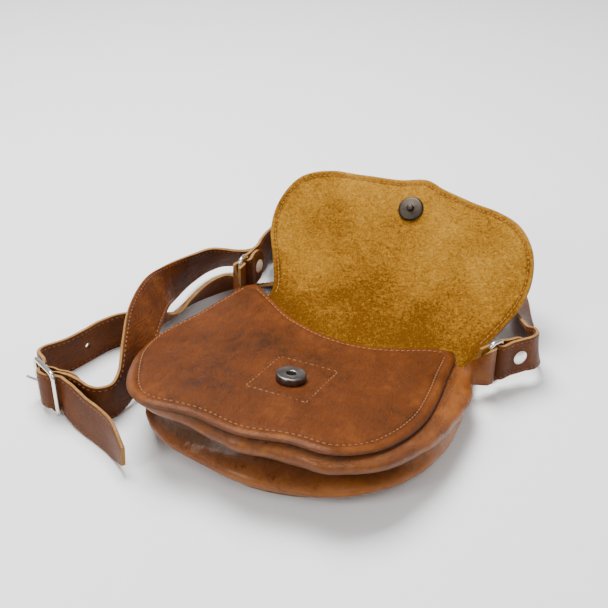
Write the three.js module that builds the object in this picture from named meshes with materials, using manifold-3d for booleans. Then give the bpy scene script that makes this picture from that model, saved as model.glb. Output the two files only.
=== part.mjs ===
// A small leather sling bag lying on its back panel with the flap thrown open.
// Millimetres, +Z up. The bag lies in the XY plane: +X runs across it, +Y runs from its bottom
// towards its mouth. The origin is on the surface it lies on, under the middle of the back panel.
import * as THREE from 'three';
import { mergeVertices } from 'three/addons/utils/BufferGeometryUtils.js';
import Module from 'manifold-3d';

const wasm = await Module();
wasm.setup();

// Driving dimensions of the bag
const HALF_WIDTH = 100;        // middle of the bag to the widest part of its side
const SNAP_TO_HINGE = 100;     // from the snap on the front panel up to the line where the flap folds
const DEPTH = 50;              // height of the front panel above the surface at the bag's bottom
const LEATHER = 2;             // thickness of the bag's leather
const SEAM_ALLOWANCE = 7;      // width of the edge strip in which two panels are sewn together
const GUSSET_BULGE = 16;       // how far the gusset stands out beyond the seams where it is fullest
const FLAP_REACH = 128;        // from the fold line to the tip of the flap
const GAP = 0.3;               // clearance between pieces that touch

// Driving dimensions of the straps
const STRAP_WIDTH = 25;
const STRAP_THICKNESS = 2.6;   // two plies sewn together
const TONGUE = 21;             // free length of the end that is folded back at a ring
const RIVET_SET = 13;          // from the ring's bar to the rivet
const HOLE = 3.4;              // adjustment hole
const BUCKLE_PLY = 1.6;        // the strap is pared thinner where it folds round the buckle's bar
const BILLET = 22;             // free length of the end that is folded back at the buckle

// Driving dimensions of the metal
const RING_WIRE = 3;
const RING_SPAN = 9;           // between the middles of a ring's two long bars
const RING_CLEAR = 0.8;        // room above and below the strap in a ring
const SNAP_DIAMETER = 18;
const SNAP_HEIGHT = 4.5;
const SNAP_HOLE = 5.5;
const STUD_PLATE = 1.6;
const STUD_DIAMETER = 5;
const STUD_HEIGHT = 2.6;
const RIVET_CAP = 9.5;
const RIVET_DOME = 1.3;
const RIVET_SHANK = 3.6;
const BUCKLE_WIRE = 3;
const BUCKLE_LENGTH = 24;      // between the middles of the buckle's two end bars
const BUCKLE_BAR = 2.2;        // centre bar
const PRONG_WIRE = 1.8;

// Places on the bag
const SNAP_Y = -12;
const HINGE_Y = SNAP_Y + SNAP_TO_HINGE;
const PANEL_FALL = 0.17;       // slope of the front panel towards the mouth
const FLAT_TO = 3;             // the back panel lies flat up to this line
const HINGE_ANGLE = 12;        // slope of the back panel where the flap starts, degrees
const FLAP_ANGLE = 45;         // slope of the open flap, degrees
const FLAP_TURN = 80;          // length over which the flap bends up to its slope
const STUD_INSET = 23.4;       // from the tip of the flap to the stud on its inside
const STUD_X = 2;

const COLOURS = {
  leather: 0x8a4a22,
  leatherDark: 0x74401d,
  strap: 0x86461f,
  nickel: 0xc9c5bd,
  gunmetal: 0x3a3635,
};

// Small helpers
const vec = (x, y, z) => new THREE.Vector3(x, y, z);
const mix = (a, b, t) => a + (b - a) * t;
const clamp01 = (t) => Math.min(1, Math.max(0, t));
const smooth = (t) => clamp01(t) ** 2 * (3 - 2 * clamp01(t));
const ramp = (from, to, value) => smooth((value - from) / (to - from));

// A smooth curve through a table's rows, sampled by row number
function column(rows, key) {
  const curve = new THREE.CatmullRomCurve3(rows.map((row, i) => vec(i, row[key], 0)));
  return (at) => curve.getPoint(clamp01(at / (rows.length - 1))).y;
}

// Material
function finish(colour, roughness, metalness) {
  return new THREE.MeshStandardMaterial({ color: colour, roughness, metalness });
}

// A closed body from vertices and triangles, turned so that its faces point outwards
function body(points, triangles) {
  const geometry = new THREE.BufferGeometry();
  const flat = points.flatMap((p) => [p.x, p.y, p.z]);
  geometry.setAttribute('position', new THREE.Float32BufferAttribute(flat, 3));
  geometry.setIndex(triangles.flat());
  let volume = 0;
  for (const [a, b, c] of triangles) {
    volume += points[a].dot(points[b].clone().cross(points[c]));
  }
  if (volume < 0) {
    geometry.setIndex(triangles.flatMap(([a, b, c]) => [a, c, b]));
  }
  return geometry;
}

// Two equal grids of points, one for each face of a sheet, closed along their borders
function sheet(front, back) {
  const rows = front.length;
  const cols = front[0].length;
  const points = [...front.flat(), ...back.flat()];
  const other = rows * cols;
  const at = (i, j) => i * cols + j;
  const triangles = [];
  const quad = (a, b, c, d) => triangles.push([a, b, c], [a, c, d]);
  for (let i = 0; i + 1 < rows; i += 1) {
    for (let j = 0; j + 1 < cols; j += 1) {
      quad(at(i, j), at(i + 1, j), at(i + 1, j + 1), at(i, j + 1));
      quad(other + at(i, j), other + at(i, j + 1), other + at(i + 1, j + 1), other + at(i + 1, j));
    }
    quad(at(i, 0), other + at(i, 0), other + at(i + 1, 0), at(i + 1, 0));
    quad(at(i + 1, cols - 1), other + at(i + 1, cols - 1), other + at(i, cols - 1), at(i, cols - 1));
  }
  for (let j = 0; j + 1 < cols; j += 1) {
    quad(at(0, j + 1), other + at(0, j + 1), other + at(0, j), at(0, j));
    quad(at(rows - 1, j), other + at(rows - 1, j), other + at(rows - 1, j + 1), at(rows - 1, j + 1));
  }
  return body(points, triangles);
}

// A cut piece of leather: rings of points from its middle to its outline, on both faces of a surface.
// surface(u, v) gives the point and the normal of the middle of the leather.
function hide(outline, centre, surface, thickness, shares) {
  const count = outline.length;
  const points = [];
  const triangles = [];
  const side = (sign) => {
    const base = points.length;
    const place = (u, v) => {
      const { point, normal } = surface(u, v);
      points.push(point.clone().addScaledVector(normal, sign * thickness / 2));
    };
    place(centre.x, centre.y);
    for (const share of shares) {
      for (const corner of outline) {
        place(mix(centre.x, corner.x, share), mix(centre.y, corner.y, share));
      }
    }
    return base;
  };
  const top = side(1);
  const low = side(-1);
  const add = (a, b, c, flip) => triangles.push(flip ? [a, c, b] : [a, b, c]);
  for (const [base, flip] of [[top, false], [low, true]]) {
    for (let j = 0; j < count; j += 1) {
      const k = (j + 1) % count;
      add(base, base + 1 + j, base + 1 + k, flip);
      for (let i = 1; i < shares.length; i += 1) {
        const inner = base + 1 + (i - 1) * count;
        const outer = inner + count;
        add(inner + j, outer + j, outer + k, flip);
        add(inner + j, outer + k, inner + k, flip);
      }
    }
  }
  const rim = 1 + (shares.length - 1) * count;
  for (let j = 0; j < count; j += 1) {
    const k = (j + 1) % count;
    triangles.push([top + rim + j, low + rim + j, low + rim + k]);
    triangles.push([top + rim + j, low + rim + k, top + rim + k]);
  }
  return body(points, triangles);
}

// A closed wire of round section along a ring of points
function wireLoop(path, radius, sides) {
  const count = path.length;
  const points = [];
  const centre = path.reduce((sum, p) => sum.add(p), vec(0, 0, 0)).divideScalar(count);
  const plane = path[0].clone().sub(centre).cross(path[Math.floor(count / 4)].clone().sub(centre)).normalize();
  for (let i = 0; i < count; i += 1) {
    const ahead = path[(i + 1) % count].clone().sub(path[i]).normalize();
    const behind = path[i].clone().sub(path[(i + count - 1) % count]).normalize();
    const along = ahead.clone().add(behind).normalize();
    const out = along.clone().cross(plane).normalize();
    const stretch = 1 / Math.max(0.6, along.dot(ahead));
    for (let j = 0; j < sides; j += 1) {
      const angle = 2 * Math.PI * (j + 0.5) / sides;
      points.push(path[i].clone()
        .addScaledVector(out, radius * stretch * Math.cos(angle))
        .addScaledVector(plane, radius * Math.sin(angle)));
    }
  }
  const triangles = [];
  for (let i = 0; i < count; i += 1) {
    const next = (i + 1) % count;
    for (let j = 0; j < sides; j += 1) {
      const k = (j + 1) % sides;
      triangles.push([i * sides + j, next * sides + j, next * sides + k]);
      triangles.push([i * sides + j, next * sides + k, i * sides + k]);
    }
  }
  return body(points, triangles);
}

// A rectangle with round corners in the plane of two directions, as a ring of points
function roundRectangle(centre, across, up, width, height, corner, steps) {
  const points = [];
  for (let quarter = 0; quarter < 4; quarter += 1) {
    const sx = quarter === 0 || quarter === 3 ? 1 : -1;
    const sy = quarter < 2 ? 1 : -1;
    for (let i = 0; i <= steps; i += 1) {
      const angle = Math.PI / 2 * (quarter + i / steps);
      const a = sx * (width / 2 - corner) + corner * Math.cos(angle);
      const b = sy * (height / 2 - corner) + corner * Math.sin(angle);
      points.push(centre.clone().addScaledVector(across, a).addScaledVector(up, b));
    }
  }
  return points;
}

// Solids for joining and cutting
function toSolid(geometry) {
  const bare = geometry.clone();
  bare.deleteAttribute('normal');
  bare.deleteAttribute('uv');
  const merged = mergeVertices(bare, 1e-5);
  return new wasm.Manifold(new wasm.Mesh({
    numProp: 3,
    vertProperties: new Float32Array(merged.attributes.position.array),
    triVerts: new Uint32Array(merged.index.array),
  }));
}

function fromSolid(solid) {
  const mesh = solid.getMesh();
  const geometry = new THREE.BufferGeometry();
  geometry.setAttribute('position', new THREE.BufferAttribute(new Float32Array(mesh.vertProperties), 3));
  geometry.setIndex([...mesh.triVerts]);
  return geometry;
}

// A geometry whose +Y axis is turned to a direction and moved to a place
function aimed(geometry, place, direction) {
  const turn = new THREE.Quaternion().setFromUnitVectors(vec(0, 1, 0), direction.clone().normalize());
  return geometry.applyQuaternion(turn).translate(place.x, place.y, place.z);
}

function punch(geometry, places, radius, length) {
  let solid = toSolid(geometry);
  for (const { point, axis } of places) {
    const tool = aimed(new THREE.CylinderGeometry(radius, radius, length, 12), point, axis);
    solid = solid.subtract(toSolid(tool));
  }
  return fromSolid(solid);
}

// The seam that joins the gusset to the two panels, from the left of the mouth round the bottom to the
// right of it. Lengths across are shares of HALF_WIDTH and lengths along are shares of SNAP_TO_HINGE:
// front and back are the seam lines on the two panels; upper, crease and lower say how far the gusset
// stands out of the straight line between them, as shares of GUSSET_BULGE.
const SEAM = [
  { frontX: -0.80, frontY: 0.82, backX: -0.83, backY: 0.80, upper: 0.50, crease: 0.60, lower: 0.45 },
  { frontX: -0.84, frontY: 0.60, backX: -0.85, backY: 0.60, upper: 0.25, crease: 0.20, lower: 0.30 },
  { frontX: -0.90, frontY: 0.36, backX: -0.86, backY: 0.37, upper: -0.02, crease: -0.20, lower: 0.30 },
  { frontX: -0.985, frontY: 0.14, backX: -0.86, backY: 0.14, upper: -0.10, crease: -0.40, lower: 0.30 },
  { frontX: -0.975, frontY: -0.12, backX: -0.84, backY: -0.08, upper: -0.14, crease: -0.45, lower: 0.35 },
  { frontX: -0.87, frontY: -0.43, backX: -0.77, backY: -0.25, upper: -0.18, crease: -0.48, lower: 0.42 },
  { frontX: -0.74, frontY: -0.66, backX: -0.66, backY: -0.39, upper: -0.14, crease: -0.34, lower: 0.52 },
  { frontX: -0.58, frontY: -0.755, backX: -0.52, backY: -0.48, upper: -0.02, crease: -0.12, lower: 0.66 },
  { frontX: -0.30, frontY: -0.725, backX: -0.29, backY: -0.57, upper: 0.05, crease: -0.22, lower: 0.72 },
  { frontX: 0.01, frontY: -0.765, backX: -0.02, backY: -0.65, upper: 0.22, crease: -0.62, lower: 0.60 },
  { frontX: 0.28, frontY: -0.70, backX: 0.27, backY: -0.61, upper: 0.32, crease: -0.76, lower: 0.60 },
  { frontX: 0.51, frontY: -0.685, backX: 0.48, backY: -0.50, upper: 0.42, crease: -0.80, lower: 0.65 },
  { frontX: 0.665, frontY: -0.555, backX: 0.64, backY: -0.35, upper: 0.55, crease: -0.60, lower: 0.74 },
  { frontX: 0.76, frontY: -0.34, backX: 0.75, backY: -0.18, upper: 0.60, crease: 0.05, lower: 0.72 },
  { frontX: 0.80, frontY: -0.07, backX: 0.82, backY: 0.02, upper: 0.75, crease: 0.54, lower: 0.62 },
  { frontX: 0.78, frontY: 0.22, backX: 0.86, backY: 0.25, upper: 0.90, crease: 0.76, lower: 0.56 },
  { frontX: 0.74, frontY: 0.49, backX: 0.87, backY: 0.47, upper: 0.92, crease: 0.74, lower: 0.40 },
  { frontX: 0.71, frontY: 0.74, backX: 0.85, backY: 0.70, upper: 0.80, crease: 0.70, lower: 0.40 },
];

// The mouth edge of the front panel, from the right of the mouth to the left, in the same shares
const MOUTH = [
  { x: 0.68, y: 0.83 },
  { x: 0.52, y: 0.75 },
  { x: 0.38, y: 0.65 },
  { x: 0.15, y: 0.55 },
  { x: -0.08, y: 0.56 },
  { x: -0.37, y: 0.67 },
  { x: -0.57, y: 0.78 },
  { x: -0.78, y: 0.89 },
];

// The free edge of the flap, from the left end of the fold line round the tip to the right end:
// across as a share of HALF_WIDTH, along as a share of FLAP_REACH from the fold line
const FLAP_EDGE = [
  { across: -0.74, along: 0.00 },
  { across: -0.75, along: 0.17 },
  { across: -0.86, along: 0.36 },
  { across: -0.955, along: 0.52 },
  { across: -0.97, along: 0.66 },
  { across: -0.92, along: 0.79 },
  { across: -0.83, along: 0.88 },
  { across: -0.63, along: 0.945 },
  { across: -0.40, along: 0.955 },
  { across: -0.13, along: 0.97 },
  { across: 0.07, along: 1.00 },
  { across: 0.21, along: 0.965 },
  { across: 0.41, along: 0.93 },
  { across: 0.62, along: 0.90 },
  { across: 0.80, along: 0.84 },
  { across: 0.93, along: 0.72 },
  { across: 0.975, along: 0.57 },
  { across: 0.955, along: 0.43 },
  { across: 0.88, along: 0.26 },
  { across: 0.82, along: 0.12 },
  { across: 0.80, along: 0.00 },
];

const seamAt = Object.fromEntries(Object.keys(SEAM[0]).map((key) => [key, column(SEAM, key)]));
const lastSeam = SEAM.length - 1;

function frontSeam(at) {
  return vec(seamAt.frontX(at) * HALF_WIDTH, seamAt.frontY(at) * SNAP_TO_HINGE, 0);
}

function backSeam(at) {
  return vec(seamAt.backX(at) * HALF_WIDTH, seamAt.backY(at) * SNAP_TO_HINGE, 0);
}

// Outward direction, in plan, of a line of points walked with the bag on its left
function outwardOf(line, at) {
  const step = 0.05;
  const along = line(Math.min(lastSeam, at + step)).sub(line(Math.max(0, at - step)));
  return vec(along.y, -along.x, 0).normalize();
}

// Height of the middle of the front panel's leather
function panelHeight(x, y) {
  const slope = DEPTH - LEATHER / 2 - PANEL_FALL * (y + 0.82 * SNAP_TO_HINGE);
  const leftCorner = 0.18 * DEPTH * ramp(-0.35, -0.85, x / HALF_WIDTH) * ramp(0.1, 0.85, y / SNAP_TO_HINGE);
  const leftRoll = -0.06 * DEPTH * ramp(-0.72, -1.02, x / HALF_WIDTH) * ramp(0.45, 0.1, Math.abs(y) / SNAP_TO_HINGE);
  const bottomRoll = -0.01 * DEPTH * ramp(-0.55, -0.85, y / SNAP_TO_HINGE);
  const rightRoll = -0.06 * DEPTH * ramp(0.5, 0.85, x / HALF_WIDTH);
  return slope + leftCorner + leftRoll + bottomRoll + rightRoll;
}

function surfaceOf(height) {
  return (x, y) => {
    const step = 0.5;
    const dx = (height(x + step, y) - height(x - step, y)) / (2 * step);
    const dy = (height(x, y + step) - height(x, y - step)) / (2 * step);
    return { point: vec(x, y, height(x, y)), normal: vec(-dx, -dy, 1).normalize() };
  };
}

// The back panel and the flap are one hide: flat, then curving up behind the mouth.
// Its middle line is followed by adding up short steps of its slope.
function hideSlope(along) {
  if (along < FLAT_TO) {
    return 0;
  }
  if (along < HINGE_Y) {
    return HINGE_ANGLE * (along - FLAT_TO) / (HINGE_Y - FLAT_TO);
  }
  return mix(HINGE_ANGLE, FLAP_ANGLE, smooth((along - HINGE_Y) / FLAP_TURN));
}

const HIDE_STEP = 1;
const hideLine = [{ y: FLAT_TO, z: LEATHER / 2 }];
for (let along = FLAT_TO; along < HINGE_Y + FLAP_REACH + 5; along += HIDE_STEP) {
  const angle = THREE.MathUtils.degToRad(hideSlope(along + HIDE_STEP / 2));
  const last = hideLine[hideLine.length - 1];
  hideLine.push({ y: last.y + HIDE_STEP * Math.cos(angle), z: last.z + HIDE_STEP * Math.sin(angle) });
}

function hideSurface(x, along) {
  const angle = THREE.MathUtils.degToRad(hideSlope(along));
  const normal = vec(0, -Math.sin(angle), Math.cos(angle));
  if (along <= FLAT_TO) {
    return { point: vec(x, along, LEATHER / 2), normal };
  }
  const steps = (along - FLAT_TO) / HIDE_STEP;
  const low = Math.min(Math.floor(steps), hideLine.length - 2);
  const a = hideLine[low];
  const b = hideLine[low + 1];
  const point = vec(x, mix(a.y, b.y, steps - low), mix(a.z, b.z, steps - low));
  return { point: point.addScaledVector(normal, flapWave(x, along - HINGE_Y)), normal };
}

// Slow waves of the open flap: its lobes curl towards the front, the right one more
function flapWave(x, along) {
  const out = ramp(0.45 * FLAP_REACH, FLAP_REACH, along);
  const right = 9 * ramp(0.45, 1.0, x / HALF_WIDTH) * out;
  const left = 4 * ramp(-0.5, -1.0, x / HALF_WIDTH) * out;
  return right + left;
}

function hideOutline() {
  const seam = [];
  const flap = FLAP_EDGE.map((row) => vec(row.across * HALF_WIDTH, HINGE_Y + row.along * FLAP_REACH, 0));
  const curve = new THREE.CatmullRomCurve3(flap, false, 'centripetal');
  for (let i = 0; i <= 24; i += 1) {
    const at = lastSeam * i / 24;
    seam.push(backSeam(at).addScaledVector(outwardOf(backSeam, at), 1));
  }
  return [...seam, ...curve.getPoints(36).reverse()];
}

function backFlap() {
  const shares = [0.3, 0.52, 0.7, 0.84, 0.94, 1];
  return hide(hideOutline(), vec(0, 0.9 * HINGE_Y, 0), hideSurface, LEATHER, shares);
}

// The front panel reaches past the seam line by a narrow raw edge
const RAW_EDGE = 1.5;
const frontSurface = surfaceOf(panelHeight);

function frontOutline() {
  const points = [];
  for (let i = 0; i <= 44; i += 1) {
    const at = lastSeam * i / 44;
    points.push(frontSeam(at).addScaledVector(outwardOf(frontSeam, at), RAW_EDGE));
  }
  const mouth = MOUTH.map((row) => vec(row.x * HALF_WIDTH, row.y * SNAP_TO_HINGE, 0));
  return [...points, ...new THREE.CatmullRomCurve3(mouth, false, 'centripetal').getPoints(18)];
}

function frontPanel() {
  return hide(frontOutline(), vec(-0.08 * HALF_WIDTH, -0.1 * SNAP_TO_HINGE, 0), frontSurface, LEATHER,
    [0.35, 0.62, 0.8, 0.92, 1]);
}

// Rings: each stands on edge at a corner of the mouth, its long bars upright
const RINGS = {
  left: { x: -0.89, y: 0.925, lift: 0.68, headX: 0, headY: 1, side: -1 },
  right: { x: 0.955, y: 0.79, lift: 0.4, headX: 0.5, headY: 0.87, side: 1 },
};

function ringPlace(name) {
  const row = RINGS[name];
  const head = vec(row.headX, row.headY, 0).normalize();
  const centre = vec(row.x * HALF_WIDTH, row.y * SNAP_TO_HINGE, (row.lift + 0.5) * STRAP_WIDTH);
  const outer = vec(head.y, -head.x, 0).multiplyScalar(row.side);
  return {
    centre,
    head,
    outer,
    tabBar: centre.clone().addScaledVector(head, -RING_SPAN / 2),
    strapBar: centre.clone().addScaledVector(head, RING_SPAN / 2),
  };
}

function ring(name) {
  const { centre, head } = ringPlace(name);
  const height = STRAP_WIDTH + 2 * RING_CLEAR + RING_WIRE;
  return wireLoop(roundRectangle(centre, head, vec(0, 0, 1), RING_SPAN, height, 3, 3), RING_WIRE / 2, 8);
}

// Gusset: at each row of the seam a section from under the front panel's edge, round the bulges and
// the crease, to the top of the back panel. At each end a tab grows out of its wall and folds round
// the ring.
const SEAM_STEP = LEATHER + 2 * GAP;
const SECTION = 15;
const TAB_FROM = 4;            // the tab grows out of these points of a section
const TAB_TO = 12;
const TAB_ROOT = 0.7;          // and starts this far from the end of the seam

function gussetSection(at) {
  const front = frontSeam(at);
  const frontOut = outwardOf(frontSeam, at);
  const back = backSeam(at);
  const backOut = outwardOf(backSeam, at);
  const onFront = (p) => {
    const { point, normal } = frontSurface(p.x, p.y);
    return point.addScaledVector(normal, -SEAM_STEP);
  };
  const onBack = (p) => {
    const { point, normal } = hideSurface(p.x, p.y);
    return point.addScaledVector(normal, SEAM_STEP);
  };
  const edge = onFront(front.clone().addScaledVector(frontOut, -1));
  const foot = onBack(back.clone().addScaledVector(backOut, -1));
  const top = onFront(front.clone().addScaledVector(frontOut, -SEAM_ALLOWANCE));
  const heel = onBack(back.clone().addScaledVector(backOut, -SEAM_ALLOWANCE));
  const bulge = (share, height) => {
    const line = foot.clone().lerp(edge, height);
    const out = frontOut.clone().lerp(backOut, 1 - height).normalize();
    out.lerp(ringPlace('left').outer, ramp(1.5, 0, at)).normalize();
    out.lerp(ringPlace('right').outer, ramp(lastSeam - 1.5, lastSeam, at)).normalize();
    return line.addScaledVector(out, share * GUSSET_BULGE);
  };
  const wall = new THREE.CatmullRomCurve3([
    edge,
    bulge(seamAt.upper(at) * 0.8 + 0.12, 0.88),
    bulge(seamAt.upper(at), 0.76),
    bulge(seamAt.crease(at), 0.62),
    bulge(mix(seamAt.crease(at), seamAt.lower(at), 0.45), 0.44),
    bulge(seamAt.lower(at), 0.27),
    bulge(seamAt.lower(at) * 0.6, 0.1),
    foot,
  ], false, 'centripetal');
  return [top, ...wall.getPoints(SECTION - 3), heel];
}

function tab(name, at) {
  const { tabBar, head, outer } = ringPlace(name);
  const radius = RING_WIRE / 2 + GAP + LEATHER / 2;
  const stop = (along, side) => tabBar.clone().addScaledVector(head, along).addScaledVector(outer, side);
  const root = gussetSection(at).slice(TAB_FROM, TAB_TO);
  const middles = [stop(-3, radius), stop(-1.5, radius)];
  for (let i = 0; i <= 4; i += 1) {
    const angle = Math.PI * i / 4;
    middles.push(stop(radius * Math.sin(angle), radius * Math.cos(angle)));
  }
  middles.push(stop(-3, -radius), stop(-6, -radius));
  const rows = middles.map((middle) => root.map((_, j) => {
    const share = 0.5 - j / (root.length - 1);
    return middle.clone().add(vec(0, 0, share * STRAP_WIDTH));
  }));
  return toSolid(sheet(...thicken([root, ...rows], LEATHER)));
}

// Both faces of a grid of points, half the thickness to either side of it
function thicken(grid, thickness) {
  const rows = grid.length;
  const cols = grid[0].length;
  const front = [];
  const back = [];
  for (let i = 0; i < rows; i += 1) {
    front.push([]);
    back.push([]);
    for (let j = 0; j < cols; j += 1) {
      const along = grid[Math.min(rows - 1, i + 1)][j].clone().sub(grid[Math.max(0, i - 1)][j]);
      const across = grid[i][Math.min(cols - 1, j + 1)].clone().sub(grid[i][Math.max(0, j - 1)]);
      const normal = along.cross(across).normalize();
      front[i].push(grid[i][j].clone().addScaledVector(normal, thickness / 2));
      back[i].push(grid[i][j].clone().addScaledVector(normal, -thickness / 2));
    }
  }
  return [front, back];
}

function gusset() {
  const sections = [];
  const steps = 40;
  for (let i = 0; i <= steps; i += 1) {
    sections.push(gussetSection(lastSeam * i / steps));
  }
  const wall = toSolid(sheet(...thicken(sections, LEATHER)));
  return fromSolid(wall.add(tab('left', TAB_ROOT)).add(tab('right', lastSeam - TAB_ROOT)));
}

// Straps. A route row gives the middle of the strap in plan (x as a share of HALF_WIDTH, y as a share
// of SNAP_TO_HINGE), the height of its lower edge (lift, a share of STRAP_WIDTH) and how it leans
// (leanX, leanY: the plan part of the unit direction from its lower edge to its upper edge).
const LONG_ROUTE = [
  { x: -0.94, y: 1.30, lift: 0.58, leanX: -0.08, leanY: 0 },
  { x: -0.98, y: 1.45, lift: 0.5, leanX: 0, leanY: 0 },
  { x: -1.0, y: 1.59, lift: 0.4, leanX: 0, leanY: 0 },
  { x: -0.97, y: 1.73, lift: 0.28, leanX: 0, leanY: 0 },
  { x: -0.89, y: 1.83, lift: 0.15, leanX: 0, leanY: 0 },
  { x: -0.76, y: 1.87, lift: 0.05, leanX: 0, leanY: 0 },
  { x: -0.63, y: 1.82, lift: 0, leanX: 0, leanY: 0 },
  { x: -0.56, y: 1.70, lift: 0, leanX: 0, leanY: 0 },
  { x: -0.56, y: 1.56, lift: 0, leanX: 0, leanY: 0 },
  { x: -0.61, y: 1.45, lift: 0, leanX: 0.15, leanY: -0.5 },
  { x: -0.715, y: 1.37, lift: 0, leanX: 0.2, leanY: -0.78 },
  { x: -0.83, y: 1.25, lift: 0, leanX: 0.2, leanY: -0.86 },
  { x: -0.93, y: 1.18, lift: 0, leanX: 0.2, leanY: -0.85 },
  { x: -1.035, y: 1.12, lift: 0, leanX: 0.25, leanY: -0.68 },
  { x: -1.12, y: 1.05, lift: 0, leanX: 0.3, leanY: -0.45 },
  { x: -1.19, y: 0.92, lift: 0, leanX: 0.45, leanY: -0.3 },
  { x: -1.225, y: 0.79, lift: 0, leanX: 0.58, leanY: -0.2 },
  { x: -1.24, y: 0.64, lift: 0, leanX: 0.68, leanY: -0.05 },
  { x: -1.245, y: 0.51, lift: 0, leanX: 0.75, leanY: 0 },
  { x: -1.285, y: 0.40, lift: 0, leanX: 0.66, leanY: 0.1 },
  { x: -1.36, y: 0.29, lift: 0, leanX: 0.35, leanY: 0.1 },
  { x: -1.44, y: 0.19, lift: 0, leanX: 0.05, leanY: 0.05 },
  { x: -1.49, y: 0.09, lift: 0, leanX: 0, leanY: 0 },
  { x: -1.525, y: -0.05, lift: 0, leanX: 0, leanY: 0 },
  { x: -1.56, y: -0.18, lift: 0, leanX: 0, leanY: 0 },
  { x: -1.60, y: -0.28, lift: 0.03, leanX: 0, leanY: 0 },
  { x: -1.615, y: -0.35, lift: 0.08, leanX: 0, leanY: 0 },
  { x: -1.60, y: -0.415, lift: 0.13, leanX: 0, leanY: 0 },
];

const TAIL_ROUTE = [
  { x: -1.255, y: -0.60, lift: 0.1, leanX: 0, leanY: 0.15 },
  { x: -1.19, y: -0.625, lift: 0.04, leanX: 0, leanY: 0.18 },
  { x: -1.09, y: -0.665, lift: 0, leanX: 0, leanY: 0.18 },
  { x: -0.97, y: -0.705, lift: 0, leanX: 0.05, leanY: 0.15 },
  { x: -0.85, y: -0.755, lift: 0, leanX: 0.1, leanY: 0.08 },
  { x: -0.745, y: -0.82, lift: 0, leanX: 0.12, leanY: 0 },
  { x: -0.675, y: -0.87, lift: 0, leanX: 0.12, leanY: 0 },
];

const SHORT_ROUTE = [
  { x: 1.145, y: 1.045, lift: 0.34, leanX: -0.08, leanY: 0 },
  { x: 1.135, y: 1.12, lift: 0.26, leanX: -0.16, leanY: 0 },
  { x: 1.085, y: 1.21, lift: 0.12, leanX: -0.3, leanY: -0.1 },
  { x: 1.02, y: 1.38, lift: 0, leanX: -0.5, leanY: -0.15 },
  { x: 0.93, y: 1.56, lift: 0, leanX: -0.68, leanY: -0.2 },
  { x: 0.86, y: 1.71, lift: 0, leanX: -0.7, leanY: -0.25 },
  { x: 0.77, y: 1.95, lift: 0, leanX: -0.6, leanY: -0.3 },
  { x: 0.64, y: 2.11, lift: 0, leanX: -0.4, leanY: -0.4 },
  { x: 0.42, y: 2.23, lift: 0, leanX: -0.15, leanY: -0.4 },
  { x: 0.12, y: 2.28, lift: 0, leanX: 0, leanY: -0.35 },
  { x: -0.22, y: 2.25, lift: 0, leanX: 0.05, leanY: -0.3 },
  { x: -0.55, y: 2.16, lift: 0, leanX: 0.1, leanY: -0.25 },
  { x: -0.83, y: 2.02, lift: 0, leanX: 0.1, leanY: -0.1 },
  { x: -1.02, y: 1.84, lift: 0, leanX: 0.1, leanY: -0.1 },
  { x: -1.075, y: 1.66, lift: 0, leanX: 0.15, leanY: -0.2 },
  { x: -1.08, y: 1.50, lift: 0.05, leanX: 0.25, leanY: -0.3 },
  { x: -1.145, y: 1.38, lift: 0.15, leanX: 0.36, leanY: -0.45 },
  { x: -1.255, y: 1.29, lift: 0.22, leanX: 0.31, leanY: -0.46 },
  { x: -1.33, y: 1.17, lift: 0.24, leanX: 0.24, leanY: -0.25 },
  { x: -1.36, y: 1.0, lift: 0.28, leanX: 0.13, leanY: -0.1 },
  { x: -1.35, y: 0.69, lift: 0.5, leanX: -0.3, leanY: -0.16 },
  { x: -1.28, y: 0.425, lift: 0.87, leanX: -0.57, leanY: -0.28 },
  { x: -1.17, y: 0.12, lift: 0.98, leanX: -0.58, leanY: -0.54 },
  { x: -1.07, y: -0.14, lift: 0.62, leanX: -0.37, leanY: -0.5 },
  { x: -1.025, y: -0.30, lift: 0.2, leanX: -0.15, leanY: -0.2 },
  { x: -1.02, y: -0.41, lift: 0.03, leanX: 0, leanY: 0 },
  { x: -1.035, y: -0.485, lift: 0, leanX: 0.05, leanY: 0 },
  { x: -1.085, y: -0.54, lift: 0, leanX: 0.05, leanY: 0.05 },
  { x: -1.145, y: -0.555, lift: 0.02, leanX: 0.05, leanY: 0.08 },
  { x: -1.22, y: -0.545, lift: 0.08, leanX: 0.03, leanY: 0.08 },
];

// The buckle stands on edge: its frame runs along head, its centre bar is set back from it
const BUCKLE = { x: -1.44, y: -0.563, headX: 0.9, headY: -0.43 };
const BAR_BACK = 1.5;
const FLOOR_GAP = 0.2;
const BUCKLE_LIFT = BUCKLE_WIRE + RING_CLEAR;

function bucklePlace() {
  const head = vec(BUCKLE.headX, BUCKLE.headY, 0).normalize();
  const front = vec(head.y, -head.x, 0);
  const height = STRAP_WIDTH + 2 * RING_CLEAR + BUCKLE_WIRE;
  const centre = vec(BUCKLE.x * HALF_WIDTH, BUCKLE.y * SNAP_TO_HINGE, (height + BUCKLE_WIRE) / 2 + FLOOR_GAP);
  return { head, front, height, centre, bar: centre.clone().addScaledVector(front, -BAR_BACK) };
}

function leaned(leanX, leanY) {
  const up = Math.sqrt(Math.max(0.0001, 1 - leanX ** 2 - leanY ** 2));
  return vec(leanX, leanY, up);
}

// A station of a strap: its middle and the direction of its width
function station(x, y, lift, across) {
  const z = FLOOR_GAP + STRAP_THICKNESS / 2 * Math.hypot(across.x, across.y)
    + lift + across.z * STRAP_WIDTH / 2;
  return { middle: vec(x, y, z), across };
}

function routeStations(route) {
  return route.map((row) => station(row.x * HALF_WIDTH, row.y * SNAP_TO_HINGE, row.lift * STRAP_WIDTH,
    leaned(row.leanX, row.leanY)));
}

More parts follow.
